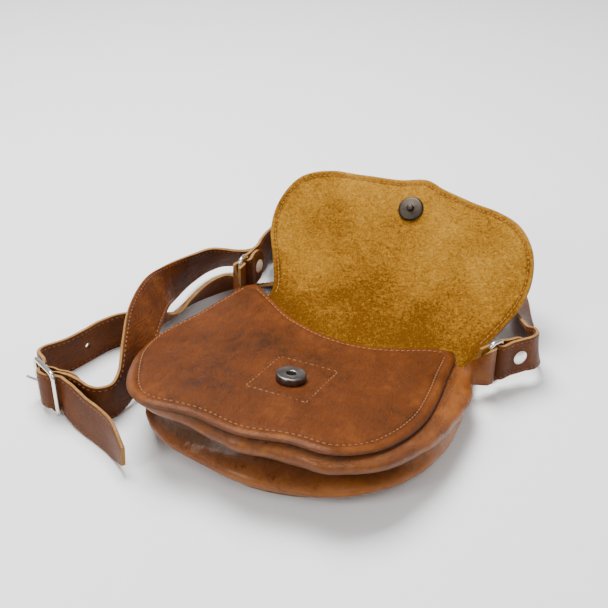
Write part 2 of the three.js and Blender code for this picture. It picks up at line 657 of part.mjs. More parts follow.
// The end of a strap folded round a ring's bar: the tongue lies on one side, the strap on the other
function ringFold(name, tongueSide, direction) {
  const { strapBar, outer } = ringPlace(name);
  const along = vec(direction.x, direction.y, 0).normalize();
  const sideways = vec(along.y, -along.x, 0);
  sideways.multiplyScalar(Math.sign(sideways.dot(outer)) * tongueSide);
  const loose = RING_WIRE / 2 + GAP + STRAP_THICKNESS / 2;
  const closed = STRAP_THICKNESS / 2 + GAP;
  const at = (forward, side) => ({
    middle: strapBar.clone().addScaledVector(along, forward).addScaledVector(sideways, side),
    across: vec(0, 0, 1),
  });
  const folded = [
    [1, closed], [0.81, closed], [0.52, closed], [0.33, closed * 1.05], [0.14, loose * 0.85],
  ];
  const stations = folded.map(([share, side]) => at(TONGUE * share, side));
  for (let i = 0; i <= 4; i += 1) {
    const angle = Math.PI * i / 4;
    stations.push(at(-loose * Math.sin(angle), loose * Math.cos(angle)));
  }
  stations.push(...folded.reverse().map(([share, side]) => at(TONGUE * share, -side)));
  return { stations, rivet: { point: strapBar.clone().addScaledVector(along, RIVET_SET), axis: sideways } };
}

const leftFold = ringFold('left', -1, vec(-0.03, 1, 0));
const rightFold = ringFold('right', -1, vec(0.64, 0.77, 0));

// Half-width of a strap near one of its ends, by the distance to that end
function roundedEnd(distance) {
  const radius = STRAP_WIDTH * 0.4;
  const inside = Math.min(distance, radius);
  return STRAP_WIDTH / 2 - radius + Math.sqrt(Math.max(0.01, radius ** 2 - (radius - inside) ** 2));
}

function pointedEnd(distance) {
  return STRAP_WIDTH / 2 * mix(0.5, 1, Math.sin(Math.PI / 2 * clamp01(distance / (0.8 * STRAP_WIDTH))));
}

// A strap through its stations, with its thickness at each place from a function of the length
function strap(stations, startEnd, finishEnd, thicknessAt) {
  const path = new THREE.CatmullRomCurve3(stations.map((s) => s.middle), false, 'centripetal');
  const lean = new THREE.CatmullRomCurve3(stations.map((s) => s.across), false, 'centripetal');
  const spans = stations.length - 1;
  const shares = [];
  for (let i = 0; i < spans; i += 1) {
    const length = stations[i].middle.distanceTo(stations[i + 1].middle);
    const pieces = Math.max(1, Math.round(length / 6));
    for (let j = 0; j < pieces; j += 1) {
      shares.push((i + j / pieces) / spans);
    }
  }
  shares.push(1);
  const middles = shares.map((share) => path.getPoint(share));
  const lengths = [0];
  for (let i = 1; i < middles.length; i += 1) {
    lengths.push(lengths[i - 1] + middles[i].distanceTo(middles[i - 1]));
  }
  const total = lengths[lengths.length - 1];
  const front = [];
  const back = [];
  middles.forEach((middle, i) => {
    const before = middles[Math.max(0, i - 1)];
    const after = middles[Math.min(middles.length - 1, i + 1)];
    const along = after.clone().sub(before).normalize();
    const across = lean.getPoint(shares[i]);
    across.addScaledVector(along, -across.dot(along)).normalize();
    const normal = along.clone().cross(across).normalize();
    const half = Math.min(startEnd(lengths[i]), finishEnd(total - lengths[i]));
    const thick = thicknessAt(total - lengths[i]) / 2;
    const corner = (side, face) => middle.clone()
      .addScaledVector(across, side * half)
      .addScaledVector(normal, face * thick);
    const corners = [corner(-1, 1), corner(1, 1), corner(-1, -1), corner(1, -1)];
    const sunk = Math.max(0, FLOOR_GAP - Math.min(...corners.map((p) => p.z)));
    corners.forEach((p) => p.add(vec(0, 0, sunk)));
    front.push(corners.slice(0, 2));
    back.push(corners.slice(2));
  });
  return { geometry: sheet(front, back), length: total };
}

// Where the long strap passes through the buckle: up beside the left bar, over the centre bar in front
// of the folded short strap, and behind the right bar
const FOLD_TILT = THREE.MathUtils.degToRad(35);
const FOLD_OUTER = BUCKLE_BAR / 2 + GAP + BUCKLE_PLY;
const OVER_BAR = FOLD_OUTER + 2 * GAP + STRAP_THICKNESS / 2;

function buckleStations() {
  const { head, front, centre, bar } = bucklePlace();
  const upright = leaned(0, 0);
  const at = (from, along, forward) => {
    const p = from.clone().addScaledVector(head, along).addScaledVector(front, forward);
    return station(p.x, p.y, BUCKLE_LIFT, upright);
  };
  const behind = -1.25 * (BUCKLE_WIRE / 2 + GAP + STRAP_THICKNESS / 2);
  const half = BUCKLE_LENGTH / 2;
  return [
    at(centre, -half + BUCKLE_BAR, -1.6 * BUCKLE_WIRE),
    at(bar, -OVER_BAR, 0.2),
    at(bar, -OVER_BAR * 0.72, OVER_BAR * 0.72),
    at(bar, 0, OVER_BAR),
    at(bar, OVER_BAR, OVER_BAR * 0.7),
    at(centre, half - BUCKLE_WIRE, behind * 0.55),
    at(centre, half, behind * 1.08),
  ];
}

const prongHeight = FLOOR_GAP + BUCKLE_LIFT + STRAP_WIDTH / 2;

function prongLine() {
  const { head, front, centre, bar } = bucklePlace();
  const start = bar.clone().setZ(prongHeight);
  const rest = centre.clone().addScaledVector(head, -BUCKLE_LENGTH / 2)
    .addScaledVector(front, BUCKLE_WIRE / 2 + 2 * GAP + PRONG_WIRE / 2).setZ(prongHeight);
  return { start, rest, along: rest.clone().sub(start).normalize() };
}

function longStrap() {
  const stations = [...leftFold.stations, ...routeStations(LONG_ROUTE), ...buckleStations(),
    ...routeStations(TAIL_ROUTE)];
  const { geometry, length } = strap(stations, roundedEnd, pointedEnd, () => STRAP_THICKNESS);
  const { start, along } = prongLine();
  const spare = routeStations(LONG_ROUTE).slice(-6);
  const heading = spare[2].middle.clone().sub(spare[0].middle);
  const hole = { point: spare[1].middle, axis: heading.cross(vec(0, 0, 1)).normalize() };
  const prongHole = { point: start.clone().addScaledVector(along, OVER_BAR), axis: along };
  let cut = punch(geometry, [leftFold.rivet], RIVET_SHANK / 2 + 2 * GAP, 12);
  cut = punch(cut, [hole], HOLE / 2, 8);
  cut = punch(cut, [prongHole], PRONG_WIRE / 2 + 3 * GAP, 9);
  return { geometry: cut, length };
}

function shortStrap() {
  const { head, front, bar } = bucklePlace();
  const upright = leaned(0, 0);
  const radius = BUCKLE_BAR / 2 + GAP + BUCKLE_PLY / 2;
  const away = head.clone().multiplyScalar(Math.cos(FOLD_TILT)).addScaledVector(front, -Math.sin(FOLD_TILT));
  const aside = vec(away.y, -away.x, 0);
  const at = (along, forward) => {
    const p = bar.clone().addScaledVector(away, along).addScaledVector(aside, forward);
    return station(p.x, p.y, BUCKLE_LIFT, upright);
  };
  const folded = [[1, radius * 0.91], [0.64, radius * 0.6], [0.36, radius * 0.48], [0.18, radius]];
  const stations = [...rightFold.stations, ...routeStations(SHORT_ROUTE)];
  stations.push(...folded.slice(1).map(([share, side]) => at(BILLET * share, side)));
  for (let i = 0; i <= 4; i += 1) {
    const angle = Math.PI * i / 4;
    stations.push(at(-radius * Math.sin(angle), radius * Math.cos(angle)));
  }
  stations.push(...folded.reverse().map(([share, side]) => at(BILLET * share, -side)));
  const pared = (left) => mix(BUCKLE_PLY, STRAP_THICKNESS, ramp(1.64 * BILLET, 2 * BILLET, left));
  const { geometry, length } = strap(stations, roundedEnd, roundedEnd, pared);
  const cut = toSolid(punch(geometry, [rightFold.rivet], RIVET_SHANK / 2 + 2 * GAP, 12));
  const slot = new THREE.BoxGeometry(12, 8, PRONG_WIRE + 2 * GAP + 0.4);
  slot.rotateZ(Math.atan2(head.y, head.x));
  const middle = bar.clone().addScaledVector(head, -2.5).setZ(prongHeight);
  slot.translate(middle.x, middle.y, middle.z);
  return { geometry: fromSolid(cut.subtract(toSolid(slot))), length };
}

// Buckle frame with its centre bar
function buckleFrame() {
  const { head, height, centre, bar } = bucklePlace();
  const outer = wireLoop(roundRectangle(centre, head, vec(0, 0, 1), BUCKLE_LENGTH, height, 3.5, 4), BUCKLE_WIRE / 2, 10);
  const inner = aimed(new THREE.CylinderGeometry(BUCKLE_BAR / 2, BUCKLE_BAR / 2, height, 10), bar, vec(0, 0, 1));
  return fromSolid(toSolid(outer).add(toSolid(inner)));
}

// Prong: a loop round the centre bar and a straight tongue that rests on the left bar
function buckleProng() {
  const { head, front } = bucklePlace();
  const { start, rest, along } = prongLine();
  const radius = BUCKLE_BAR / 2 + GAP + PRONG_WIRE / 2;
  const points = [];
  const first = Math.atan2(along.dot(front), along.dot(head));
  for (let i = 0; i <= 8; i += 1) {
    const angle = first + Math.PI * (0.25 + 1.55 * i / 8);
    points.push(start.clone().addScaledVector(head, radius * Math.cos(angle))
      .addScaledVector(front, radius * Math.sin(angle)));
  }
  points.push(start.clone().addScaledVector(along, radius + 2.2));
  points.push(rest.clone());
  points.push(rest.clone().addScaledVector(along, 4));
  const section = new THREE.Shape();
  section.absarc(0, 0, PRONG_WIRE / 2, 0, 2 * Math.PI);
  const curve = new THREE.CatmullRomCurve3(points, false, 'centripetal');
  return new THREE.ExtrudeGeometry(section, { extrudePath: curve, steps: 26, curveSegments: 8 });
}

// Turned pieces: profiles are points of radius and height, starting and ending on the axis
function turned(profile, sides) {
  return new THREE.LatheGeometry(profile.map(([r, h]) => new THREE.Vector2(r, h)), sides);
}

function rivet({ point, axis }) {
  const seat = STRAP_THICKNESS + 2 * GAP;
  const shank = RIVET_SHANK / 2;
  const cap = RIVET_CAP / 2;
  const profile = [
    [0, -seat - RIVET_DOME], [cap * 0.6, -seat - RIVET_DOME * 0.85], [cap, -seat - 0.4], [cap, -seat],
    [shank, -seat], [shank, seat], [cap, seat], [cap, seat + 0.4], [cap * 0.6, seat + RIVET_DOME * 0.85],
    [0, seat + RIVET_DOME],
  ];
  return aimed(turned(profile, 16), point, axis);
}

function snapSocket() {
  const { point, normal } = frontSurface(0, SNAP_Y);
  const radius = SNAP_DIAMETER / 2;
  const profile = [
    [0, 0], [radius - 0.6, 0], [radius, 0.6], [radius, SNAP_HEIGHT - 1], [radius - 1, SNAP_HEIGHT],
    [SNAP_HOLE / 2 + 0.5, SNAP_HEIGHT], [SNAP_HOLE / 2, SNAP_HEIGHT - 0.5], [SNAP_HOLE / 2, 1.2], [0, 1.2],
  ];
  return aimed(turned(profile, 28), point.addScaledVector(normal, LEATHER / 2 + GAP), normal);
}

function snapStud() {
  const { point, normal } = hideSurface(STUD_X, HINGE_Y + FLAP_REACH - STUD_INSET);
  const radius = SNAP_DIAMETER / 2;
  const stud = STUD_DIAMETER / 2;
  const profile = [
    [0, 0], [radius - 0.3, 0], [radius, 0.4], [radius - 0.6, STUD_PLATE], [stud, STUD_PLATE],
    [stud, STUD_PLATE + STUD_HEIGHT - 0.6], [stud - 0.6, STUD_PLATE + STUD_HEIGHT], [0, STUD_PLATE + STUD_HEIGHT],
  ];
  return aimed(turned(profile, 28), point.addScaledVector(normal, LEATHER / 2 + GAP), normal);
}

// The bag
const bag = new THREE.Group();

function add(name, geometry, material) {
  const mesh = new THREE.Mesh(geometry, material);
  mesh.name = name;
  bag.add(mesh);
}

const longOne = longStrap();
const shortOne = shortStrap();
add('front_panel', frontPanel(), finish(COLOURS.leatherDark, 0.5, 0));
add('gusset', gusset(), finish(COLOURS.leather, 0.5, 0));
add('back_flap', backFlap(), finish(COLOURS.leather, 0.6, 0));
add('strap_long', longOne.geometry, finish(COLOURS.strap, 0.5, 0));
add('strap_short', shortOne.geometry, finish(COLOURS.strap, 0.5, 0));
add('ring_left', ring('left'), finish(COLOURS.nickel, 0.3, 1));
add('ring_right', ring('right'), finish(COLOURS.nickel, 0.3, 1));
add('rivet_left', rivet(leftFold.rivet), finish(COLOURS.nickel, 0.3, 1));
add('rivet_right', rivet(rightFold.rivet), finish(COLOURS.nickel, 0.3, 1));
add('snap_socket', snapSocket(), finish(COLOURS.gunmetal, 0.35, 1));
add('snap_stud', snapStud(), finish(COLOURS.gunmetal, 0.35, 1));
add('buckle_frame', buckleFrame(), finish(COLOURS.nickel, 0.3, 1));
add('buckle_prong', buckleProng(), finish(COLOURS.nickel, 0.3, 1));

export default bag;
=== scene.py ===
"""The looks of a brown leather sling bag that lies open on its back panel."""

import math

import bpy
from mathutils import Matrix, Vector, noise
from mathutils.kdtree import KDTree


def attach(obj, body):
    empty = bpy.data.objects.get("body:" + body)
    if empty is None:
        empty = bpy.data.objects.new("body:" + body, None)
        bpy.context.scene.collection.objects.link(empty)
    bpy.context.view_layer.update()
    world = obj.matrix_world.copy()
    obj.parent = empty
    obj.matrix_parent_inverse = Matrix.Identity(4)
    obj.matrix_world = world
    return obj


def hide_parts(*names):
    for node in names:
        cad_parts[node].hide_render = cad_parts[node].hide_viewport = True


bl_info = {
    "name": "Leather Sling Bag",
    "version": (1, 0, 0),
    "blender": (4, 2, 0),
    "location": "View3D > Sidebar > Sling Bag",
    "description": "Builds the hides, straps, stitches and fittings of a leather sling bag",
    "category": "Object",
}

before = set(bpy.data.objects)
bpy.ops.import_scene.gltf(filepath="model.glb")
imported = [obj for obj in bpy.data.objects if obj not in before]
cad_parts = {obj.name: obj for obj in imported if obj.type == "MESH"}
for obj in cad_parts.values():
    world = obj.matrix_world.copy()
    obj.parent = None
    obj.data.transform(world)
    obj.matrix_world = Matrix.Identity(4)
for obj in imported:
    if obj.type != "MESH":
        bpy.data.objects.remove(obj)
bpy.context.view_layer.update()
MM = 0.001

# Sizes of the bag in millimetres
HALF_WIDTH = 100
SNAP_TO_HINGE = 100
DEPTH = 50
LEATHER = 2
GUSSET_BULGE = 16
FLAP_REACH = 128
GAP = 0.3
SEAM_STEP = LEATHER + 2 * GAP
SEAM_ALLOWANCE = 7
RAW_EDGE = 1.5
SNAP_Y = -12
HINGE_Y = SNAP_Y + SNAP_TO_HINGE
PANEL_FALL = 0.17
FLAT_TO = 3
HINGE_ANGLE = 12
FLAP_ANGLE = 45
FLAP_TURN = 80
STUD_INSET = 23.4
STUD_X = 2

# Sizes of the straps and the metal in millimetres
STRAP_WIDTH = 25
STRAP_THICKNESS = 2.6
TONGUE = 21
RIVET_SET = 13
HOLE = 3.4
BUCKLE_PLY = 1.6
BILLET = 22
RING_WIRE = 3
RING_SPAN = 9
RING_CLEAR = 0.8
BUCKLE_WIRE = 3
BUCKLE_LENGTH = 24
BUCKLE_BAR = 2.2
PRONG_WIRE = 2.0
BAR_BACK = 1.5
FLOOR_GAP = 0.2
BUCKLE_LIFT = BUCKLE_WIRE + RING_CLEAR
FOLD_TILT = math.radians(35)
FOLD_OUTER = BUCKLE_BAR / 2 + GAP + BUCKLE_PLY
OVER_BAR = FOLD_OUTER + 2 * GAP + STRAP_THICKNESS / 2

# The seam from the left of the mouth round the bottom to its right: where it runs on the front and the
# back panel, and how far the gusset stands out high, in the middle and low
SEAM_KEYS = ("front_x", "front_y", "back_x", "back_y", "upper", "crease", "lower")
SEAM = (
    (-0.80, 0.82, -0.83, 0.80, 0.50, 0.60, 0.45),
    (-0.84, 0.60, -0.85, 0.60, 0.25, 0.20, 0.30),
    (-0.90, 0.36, -0.86, 0.37, -0.02, -0.20, 0.30),
    (-0.985, 0.14, -0.86, 0.14, -0.10, -0.40, 0.30),
    (-0.975, -0.12, -0.84, -0.08, -0.14, -0.45, 0.35),
    (-0.87, -0.43, -0.77, -0.25, -0.18, -0.48, 0.42),
    (-0.74, -0.66, -0.66, -0.39, -0.14, -0.34, 0.52),
    (-0.58, -0.755, -0.52, -0.48, -0.02, -0.12, 0.66),
    (-0.30, -0.725, -0.29, -0.57, 0.05, -0.22, 0.72),
    (0.01, -0.765, -0.02, -0.65, 0.22, -0.62, 0.60),
    (0.28, -0.70, 0.27, -0.61, 0.32, -0.76, 0.60),
    (0.51, -0.685, 0.48, -0.50, 0.42, -0.80, 0.65),
    (0.665, -0.555, 0.64, -0.35, 0.55, -0.60, 0.74),
    (0.76, -0.34, 0.75, -0.18, 0.60, 0.05, 0.72),
    (0.80, -0.07, 0.82, 0.02, 0.75, 0.54, 0.62),
    (0.78, 0.22, 0.86, 0.25, 0.90, 0.76, 0.56),
    (0.74, 0.49, 0.87, 0.47, 0.92, 0.74, 0.40),
    (0.71, 0.74, 0.85, 0.70, 0.80, 0.70, 0.40),
)
LAST_SEAM = len(SEAM) - 1

# The mouth edge of the front panel from right to left
MOUTH = (
    (0.68, 0.83), (0.52, 0.75), (0.38, 0.65), (0.15, 0.55),
    (-0.08, 0.56), (-0.37, 0.67), (-0.57, 0.78), (-0.78, 0.89),
)

# The free edge of the flap: across, and along from the fold line
FLAP_EDGE = (
    (-0.74, 0.00), (-0.75, 0.17), (-0.86, 0.36), (-0.955, 0.52), (-0.97, 0.66), (-0.92, 0.79),
    (-0.83, 0.88), (-0.63, 0.945), (-0.40, 0.955), (-0.13, 0.97), (0.07, 1.00), (0.21, 0.965),
    (0.41, 0.93), (0.62, 0.90), (0.80, 0.84), (0.93, 0.72), (0.975, 0.57), (0.955, 0.43),
    (0.88, 0.26), (0.82, 0.12), (0.80, 0.00),
)

# Strap routes: x, y, height of the lower edge, lean in x, lean in y
LONG_ROUTE = (
    (-0.94, 1.30, 0.58, -0.08, 0), (-0.98, 1.45, 0.5, 0, 0), (-1.0, 1.59, 0.4, 0, 0),
    (-0.97, 1.73, 0.28, 0, 0), (-0.89, 1.83, 0.15, 0, 0), (-0.76, 1.87, 0.05, 0, 0),
    (-0.63, 1.82, 0, 0, 0), (-0.56, 1.70, 0, 0, 0), (-0.56, 1.56, 0, 0, 0),
    (-0.61, 1.45, 0, 0.15, -0.5), (-0.715, 1.37, 0, 0.2, -0.78), (-0.83, 1.25, 0, 0.2, -0.86),
    (-0.93, 1.18, 0, 0.2, -0.85), (-1.035, 1.12, 0, 0.25, -0.68), (-1.12, 1.05, 0, 0.3, -0.45),
    (-1.19, 0.92, 0, 0.45, -0.3), (-1.225, 0.79, 0, 0.58, -0.2), (-1.24, 0.64, 0, 0.68, -0.05),
    (-1.245, 0.51, 0, 0.75, 0), (-1.285, 0.40, 0, 0.66, 0.1), (-1.36, 0.29, 0, 0.35, 0.1),
    (-1.44, 0.19, 0, 0.05, 0.05), (-1.49, 0.09, 0, 0, 0), (-1.525, -0.05, 0, 0, 0),
    (-1.56, -0.18, 0, 0, 0), (-1.60, -0.28, 0.03, 0, 0), (-1.615, -0.35, 0.08, 0, 0),
    (-1.60, -0.415, 0.13, 0, 0),
)
TAIL_ROUTE = (
    (-1.255, -0.60, 0.1, 0, 0.15), (-1.19, -0.625, 0.04, 0, 0.18), (-1.09, -0.665, 0, 0, 0.18),
    (-0.97, -0.705, 0, 0.05, 0.15), (-0.85, -0.755, 0, 0.1, 0.08), (-0.745, -0.82, 0, 0.12, 0),
    (-0.675, -0.87, 0, 0.12, 0),
)
SHORT_ROUTE = (
    (1.145, 1.045, 0.34, -0.08, 0), (1.135, 1.12, 0.26, -0.16, 0), (1.085, 1.21, 0.12, -0.3, -0.1),
    (1.02, 1.38, 0, -0.5, -0.15), (0.93, 1.56, 0, -0.68, -0.2), (0.86, 1.71, 0, -0.7, -0.25),
    (0.77, 1.95, 0, -0.6, -0.3), (0.64, 2.11, 0, -0.4, -0.4), (0.42, 2.23, 0, -0.15, -0.4),
    (0.12, 2.28, 0, 0, -0.35), (-0.22, 2.25, 0, 0.05, -0.3), (-0.55, 2.16, 0, 0.1, -0.25),
    (-0.83, 2.02, 0, 0.1, -0.1), (-1.02, 1.84, 0, 0.1, -0.1), (-1.075, 1.66, 0, 0.15, -0.2),
    (-1.08, 1.50, 0.05, 0.25, -0.3), (-1.145, 1.38, 0.15, 0.36, -0.45), (-1.255, 1.29, 0.22, 0.31, -0.46),
    (-1.33, 1.17, 0.24, 0.24, -0.25), (-1.36, 1.0, 0.28, 0.13, -0.1), (-1.35, 0.69, 0.5, -0.3, -0.16),
    (-1.28, 0.425, 0.87, -0.57, -0.28), (-1.17, 0.12, 0.98, -0.58, -0.54), (-1.07, -0.14, 0.62, -0.37, -0.5),
    (-1.025, -0.30, 0.2, -0.15, -0.2), (-1.02, -0.41, 0.03, 0, 0), (-1.035, -0.485, 0, 0.05, 0),
    (-1.085, -0.54, 0, 0.05, 0.05), (-1.145, -0.555, 0.02, 0.05, 0.08), (-1.22, -0.545, 0.08, 0.03, 0.08),
)
RINGS = {
    "left": dict(x=-0.89, y=0.925, lift=0.68, head=(0, 1), side=-1),
    "right": dict(x=0.955, y=0.79, lift=0.4, head=(0.5, 0.87), side=1),
}
BUCKLE = dict(x=-1.44, y=-0.563, head=(0.9, -0.43))


# Small helpers
def mix(a, b, t):
    return a + (b - a) * t


def clamp01(t):
    return min(1.0, max(0.0, t))


def ramp(start, end, value):
    t = clamp01((value - start) / (end - start))
    return t * t * (3 - 2 * t)


def dip(value, width):
    """A smooth bump of height 1 at 0."""
    return math.exp(-((value / width) ** 2))


def curve_point(points, t, closed=False):
    """A point of the centripetal curve through a row of points; t runs from 0 to 1."""
    count = len(points)
    place = (count - (0 if closed else 1)) * t
    low = int(math.floor(place))
    share = place - low
    if closed:
        p0, p1, p2, p3 = (points[(low + k) % count] for k in (-1, 0, 1, 2))
    else:
        if low >= count - 1:
            low, share = count - 2, 1.0
        p1, p2 = points[low], points[low + 1]
        p0 = points[low - 1] if low > 0 else 2 * p1 - p2
        p3 = points[low + 2] if low + 2 < count else 2 * p2 - p1
    steps = [max((b - a).length_squared, 0.0) ** 0.25 for a, b in ((p0, p1), (p1, p2), (p2, p3))]
    if steps[1] < 1e-4:
        steps[1] = 1.0
    if steps[0] < 1e-4:
        steps[0] = steps[1]
    if steps[2] < 1e-4:
        steps[2] = steps[1]
    d0, d1, d2 = steps
    t1 = ((p1 - p0) / d0 - (p2 - p0) / (d0 + d1) + (p2 - p1) / d1) * d1
    t2 = ((p2 - p1) / d1 - (p3 - p1) / (d1 + d2) + (p3 - p2) / d2) * d1
    c2 = 3 * (p2 - p1) - 2 * t1 - t2
    c3 = 2 * (p1 - p2) + t1 + t2
    return p1 + share * (t1 + share * (c2 + share * c3))


SEAM_LINES = {
    key: [Vector((i, row[k], 0)) for i, row in enumerate(SEAM)] for k, key in enumerate(SEAM_KEYS)
}


def seam_at(key, at):
    return curve_point(SEAM_LINES[key], clamp01(at / LAST_SEAM)).y


def front_seam(at):
    return Vector((seam_at("front_x", at) * HALF_WIDTH, seam_at("front_y", at) * SNAP_TO_HINGE, 0))


def back_seam(at):
    return Vector((seam_at("back_x", at) * HALF_WIDTH, seam_at("back_y", at) * SNAP_TO_HINGE, 0))


def outward_of(line, at):
    step = 0.05
    along = line(min(LAST_SEAM, at + step)) - line(max(0, at - step))
    return Vector((along.y, -along.x, 0)).normalized()


def panel_height(x, y):
    """Height of the middle of the front panel's leather."""
    u = x / HALF_WIDTH
    v = y / SNAP_TO_HINGE
    slope = DEPTH - LEATHER / 2 - PANEL_FALL * (y + 0.82 * SNAP_TO_HINGE)
    left_corner = 0.18 * DEPTH * ramp(-0.35, -0.85, u) * ramp(0.1, 0.85, v)
    left_roll = -0.06 * DEPTH * ramp(-0.72, -1.02, u) * ramp(0.45, 0.1, abs(v))
    bottom_roll = -0.01 * DEPTH * ramp(-0.55, -0.85, v)
    right_roll = -0.06 * DEPTH * ramp(0.5, 0.85, u)
    return slope + left_corner + left_roll + bottom_roll + right_roll


def front_surface(x, y):
    step = 0.5
    dx = (panel_height(x + step, y) - panel_height(x - step, y)) / (2 * step)
    dy = (panel_height(x, y + step) - panel_height(x, y - step)) / (2 * step)
    return Vector((x, y, panel_height(x, y))), Vector((-dx, -dy, 1)).normalized()


def hide_slope(along):
    if along < FLAT_TO:
        return 0.0
    if along < HINGE_Y:
        return HINGE_ANGLE * (along - FLAT_TO) / (HINGE_Y - FLAT_TO)
    return mix(HINGE_ANGLE, FLAP_ANGLE, ramp(0, FLAP_TURN, along - HINGE_Y))


def hide_line():
    line = [(FLAT_TO, LEATHER / 2)]
    along = FLAT_TO
    while along < HINGE_Y + FLAP_REACH + 5:
        angle = math.radians(hide_slope(along + 0.5))
        line.append((line[-1][0] + math.cos(angle), line[-1][1] + math.sin(angle)))
        along += 1
    return line


HIDE_LINE = hide_line()


def flap_wave(x, along):
    out = ramp(0.45 * FLAP_REACH, FLAP_REACH, along)
    right = 9 * ramp(0.45, 1.0, x / HALF_WIDTH) * out
    left = 4 * ramp(-0.5, -1.0, x / HALF_WIDTH) * out
    return right + left


def hide_surface(x, along):
    angle = math.radians(hide_slope(along))
    normal = Vector((0, -math.sin(angle), math.cos(angle)))
    if along <= FLAT_TO:
        return Vector((x, along, LEATHER / 2)), normal
    steps = along - FLAT_TO
    low = min(int(steps), len(HIDE_LINE) - 2)
    a, b = HIDE_LINE[low], HIDE_LINE[low + 1]
    point = Vector((x, mix(a[0], b[0], steps - low), mix(a[1], b[1], steps - low)))
    return point + normal * flap_wave(x, along - HINGE_Y), normal


def on_front(p, down=SEAM_STEP):
    point, normal = front_surface(p.x, p.y)
    return point - normal * down


def on_back(p, up=SEAM_STEP):
    point, normal = hide_surface(p.x, p.y)
    return point + normal * up


def ring_place(name):
    row = RINGS[name]
    head = Vector((*row["head"], 0)).normalized()
    centre = Vector((row["x"] * HALF_WIDTH, row["y"] * SNAP_TO_HINGE, (row["lift"] + 0.5) * STRAP_WIDTH))
    outer = Vector((head.y, -head.x, 0)) * row["side"]
    return dict(centre=centre, head=head, outer=outer,
                tab_bar=centre - head * RING_SPAN / 2, strap_bar=centre + head * RING_SPAN / 2)


# Meshes
def new_object(name, points, faces, slots=None, values=None):
    """A piece from points in millimetres; slots are material numbers, values are named point attributes."""
    mesh = bpy.data.meshes.new(name)
    mesh.from_pydata([p * MM for p in points], [], faces)
    mesh.update()
    if slots:
        mesh.polygons.foreach_set("material_index", slots)
    for key, numbers in (values or {}).items():
        attribute = mesh.attributes.new(key, "FLOAT", "POINT")
        attribute.data.foreach_set("value", numbers)
    obj = bpy.data.objects.new(name, mesh)
    bpy.context.scene.collection.objects.link(obj)
    return obj


def pick(obj):
    bpy.ops.object.select_all(action="DESELECT")
    obj.select_set(True)
    bpy.context.view_layer.objects.active = obj


def outward(obj):
    """Turns the faces of a closed piece outwards."""
    pick(obj)
    bpy.ops.object.mode_set(mode="EDIT")
    bpy.ops.mesh.select_all(action="SELECT")
    bpy.ops.mesh.remove_doubles(threshold=1e-6)
    bpy.ops.mesh.normals_make_consistent(inside=False)
    bpy.ops.object.mode_set(mode="OBJECT")


def finish_piece(obj, materials, replaced=(), smooth=40):
    outward(obj)
    for material in materials:
        obj.data.materials.append(material)
    pick(obj)
    bpy.ops.object.shade_smooth_by_angle(angle=math.radians(smooth))
    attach(obj, "root")
    if replaced:
        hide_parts(*replaced)
    return obj


TOP, EDGE, FLESH = 0, 1, 2
EDGE_BEND = 0.35               # how far the raw edge is rounded, as a share of the thickness


def hide_piece(name, outline, centre, surface, thickness, rings, reliefs, values):
    """A cut hide: rings of points from its middle to its outline, on both faces, with a rounded rim."""
    count = len(outline)
    points, faces, slots = [], [], []
    marks = {key: [] for key in values}

    def side(sign):
        base = len(points)
        for k, share in enumerate([0.0, *rings]):
            for corner in outline if k else outline[:1]:
                x = mix(centre.x, corner.x, share)
                y = mix(centre.y, corner.y, share)
                point, normal = surface(x, y)
                half = thickness / 2 - (thickness * EDGE_BEND if k == len(rings) else 0)
                relief = reliefs(x, y) if sign > 0 else reliefs(x, y) * 0.8
                points.append(point + normal * (sign * half + relief))
                for key, rule in values.items():
                    marks[key].append(rule(x, y))
        return base

    top, low = side(1), side(-1)
    for base, slot in ((top, TOP), (low, FLESH)):
        for j in range(count):
            k = (j + 1) % count
            faces.append((base, base + 1 + j, base + 1 + k))
            slots.append(slot)
            for i in range(1, len(rings)):
                inner = base + 1 + (i - 1) * count
                outer = inner + count
                faces.append((inner + j, outer + j, outer + k, inner + k))
                slots.append(EDGE if i == len(rings) - 1 else slot)
    rim = 1 + (len(rings) - 1) * count
    for j in range(count):
        k = (j + 1) % count
        faces.append((top + rim + j, low + rim + j, low + rim + k, top + rim + k))
        slots.append(EDGE)
    return new_object(name, points, faces, slots, marks)


def grid_piece(name, front, back, values, slot_of):
    """A closed sheet between two equal grids of points."""
    rows, cols = len(front), len(front[0])
    points = [p for row in front for p in row] + [p for row in back for p in row]
    other = rows * cols
    faces, slots = [], []

    def quad(a, b, c, d, slot):
        faces.append((a, b, c, d))
        slots.append(slot)

    for i in range(rows - 1):
        for j in range(cols - 1):
            a, b, c, d = i * cols + j, (i + 1) * cols + j, (i + 1) * cols + j + 1, i * cols + j + 1
            quad(a, b, c, d, slot_of(0, i, j))
            quad(other + a, other + d, other + c, other + b, slot_of(1, i, j))
        a, b = i * cols, (i + 1) * cols
        quad(a, other + a, other + b, b, EDGE)
        a, b = a + cols - 1, b + cols - 1
        quad(b, other + b, other + a, a, EDGE)
    for j in range(cols - 1):
        quad(j + 1, other + j + 1, other + j, j, EDGE)
        last = (rows - 1) * cols
        quad(last + j, other + last + j, other + last + j + 1, last + j + 1, EDGE)
    return new_object(name, points, faces, slots, values)


def thicken(grid, thickness):
    rows, cols = len(grid), len(grid[0])
    front, back = [], []
    for i in range(rows):
        front.append([])
        back.append([])
        for j in range(cols):
            along = grid[min(rows - 1, i + 1)][j] - grid[max(0, i - 1)][j]
            across = grid[i][min(cols - 1, j + 1)] - grid[i][max(0, j - 1)]
            normal = along.cross(across).normalized()
            front[i].append(grid[i][j] + normal * thickness / 2)
            back[i].append(grid[i][j] - normal * thickness / 2)
    return front, back


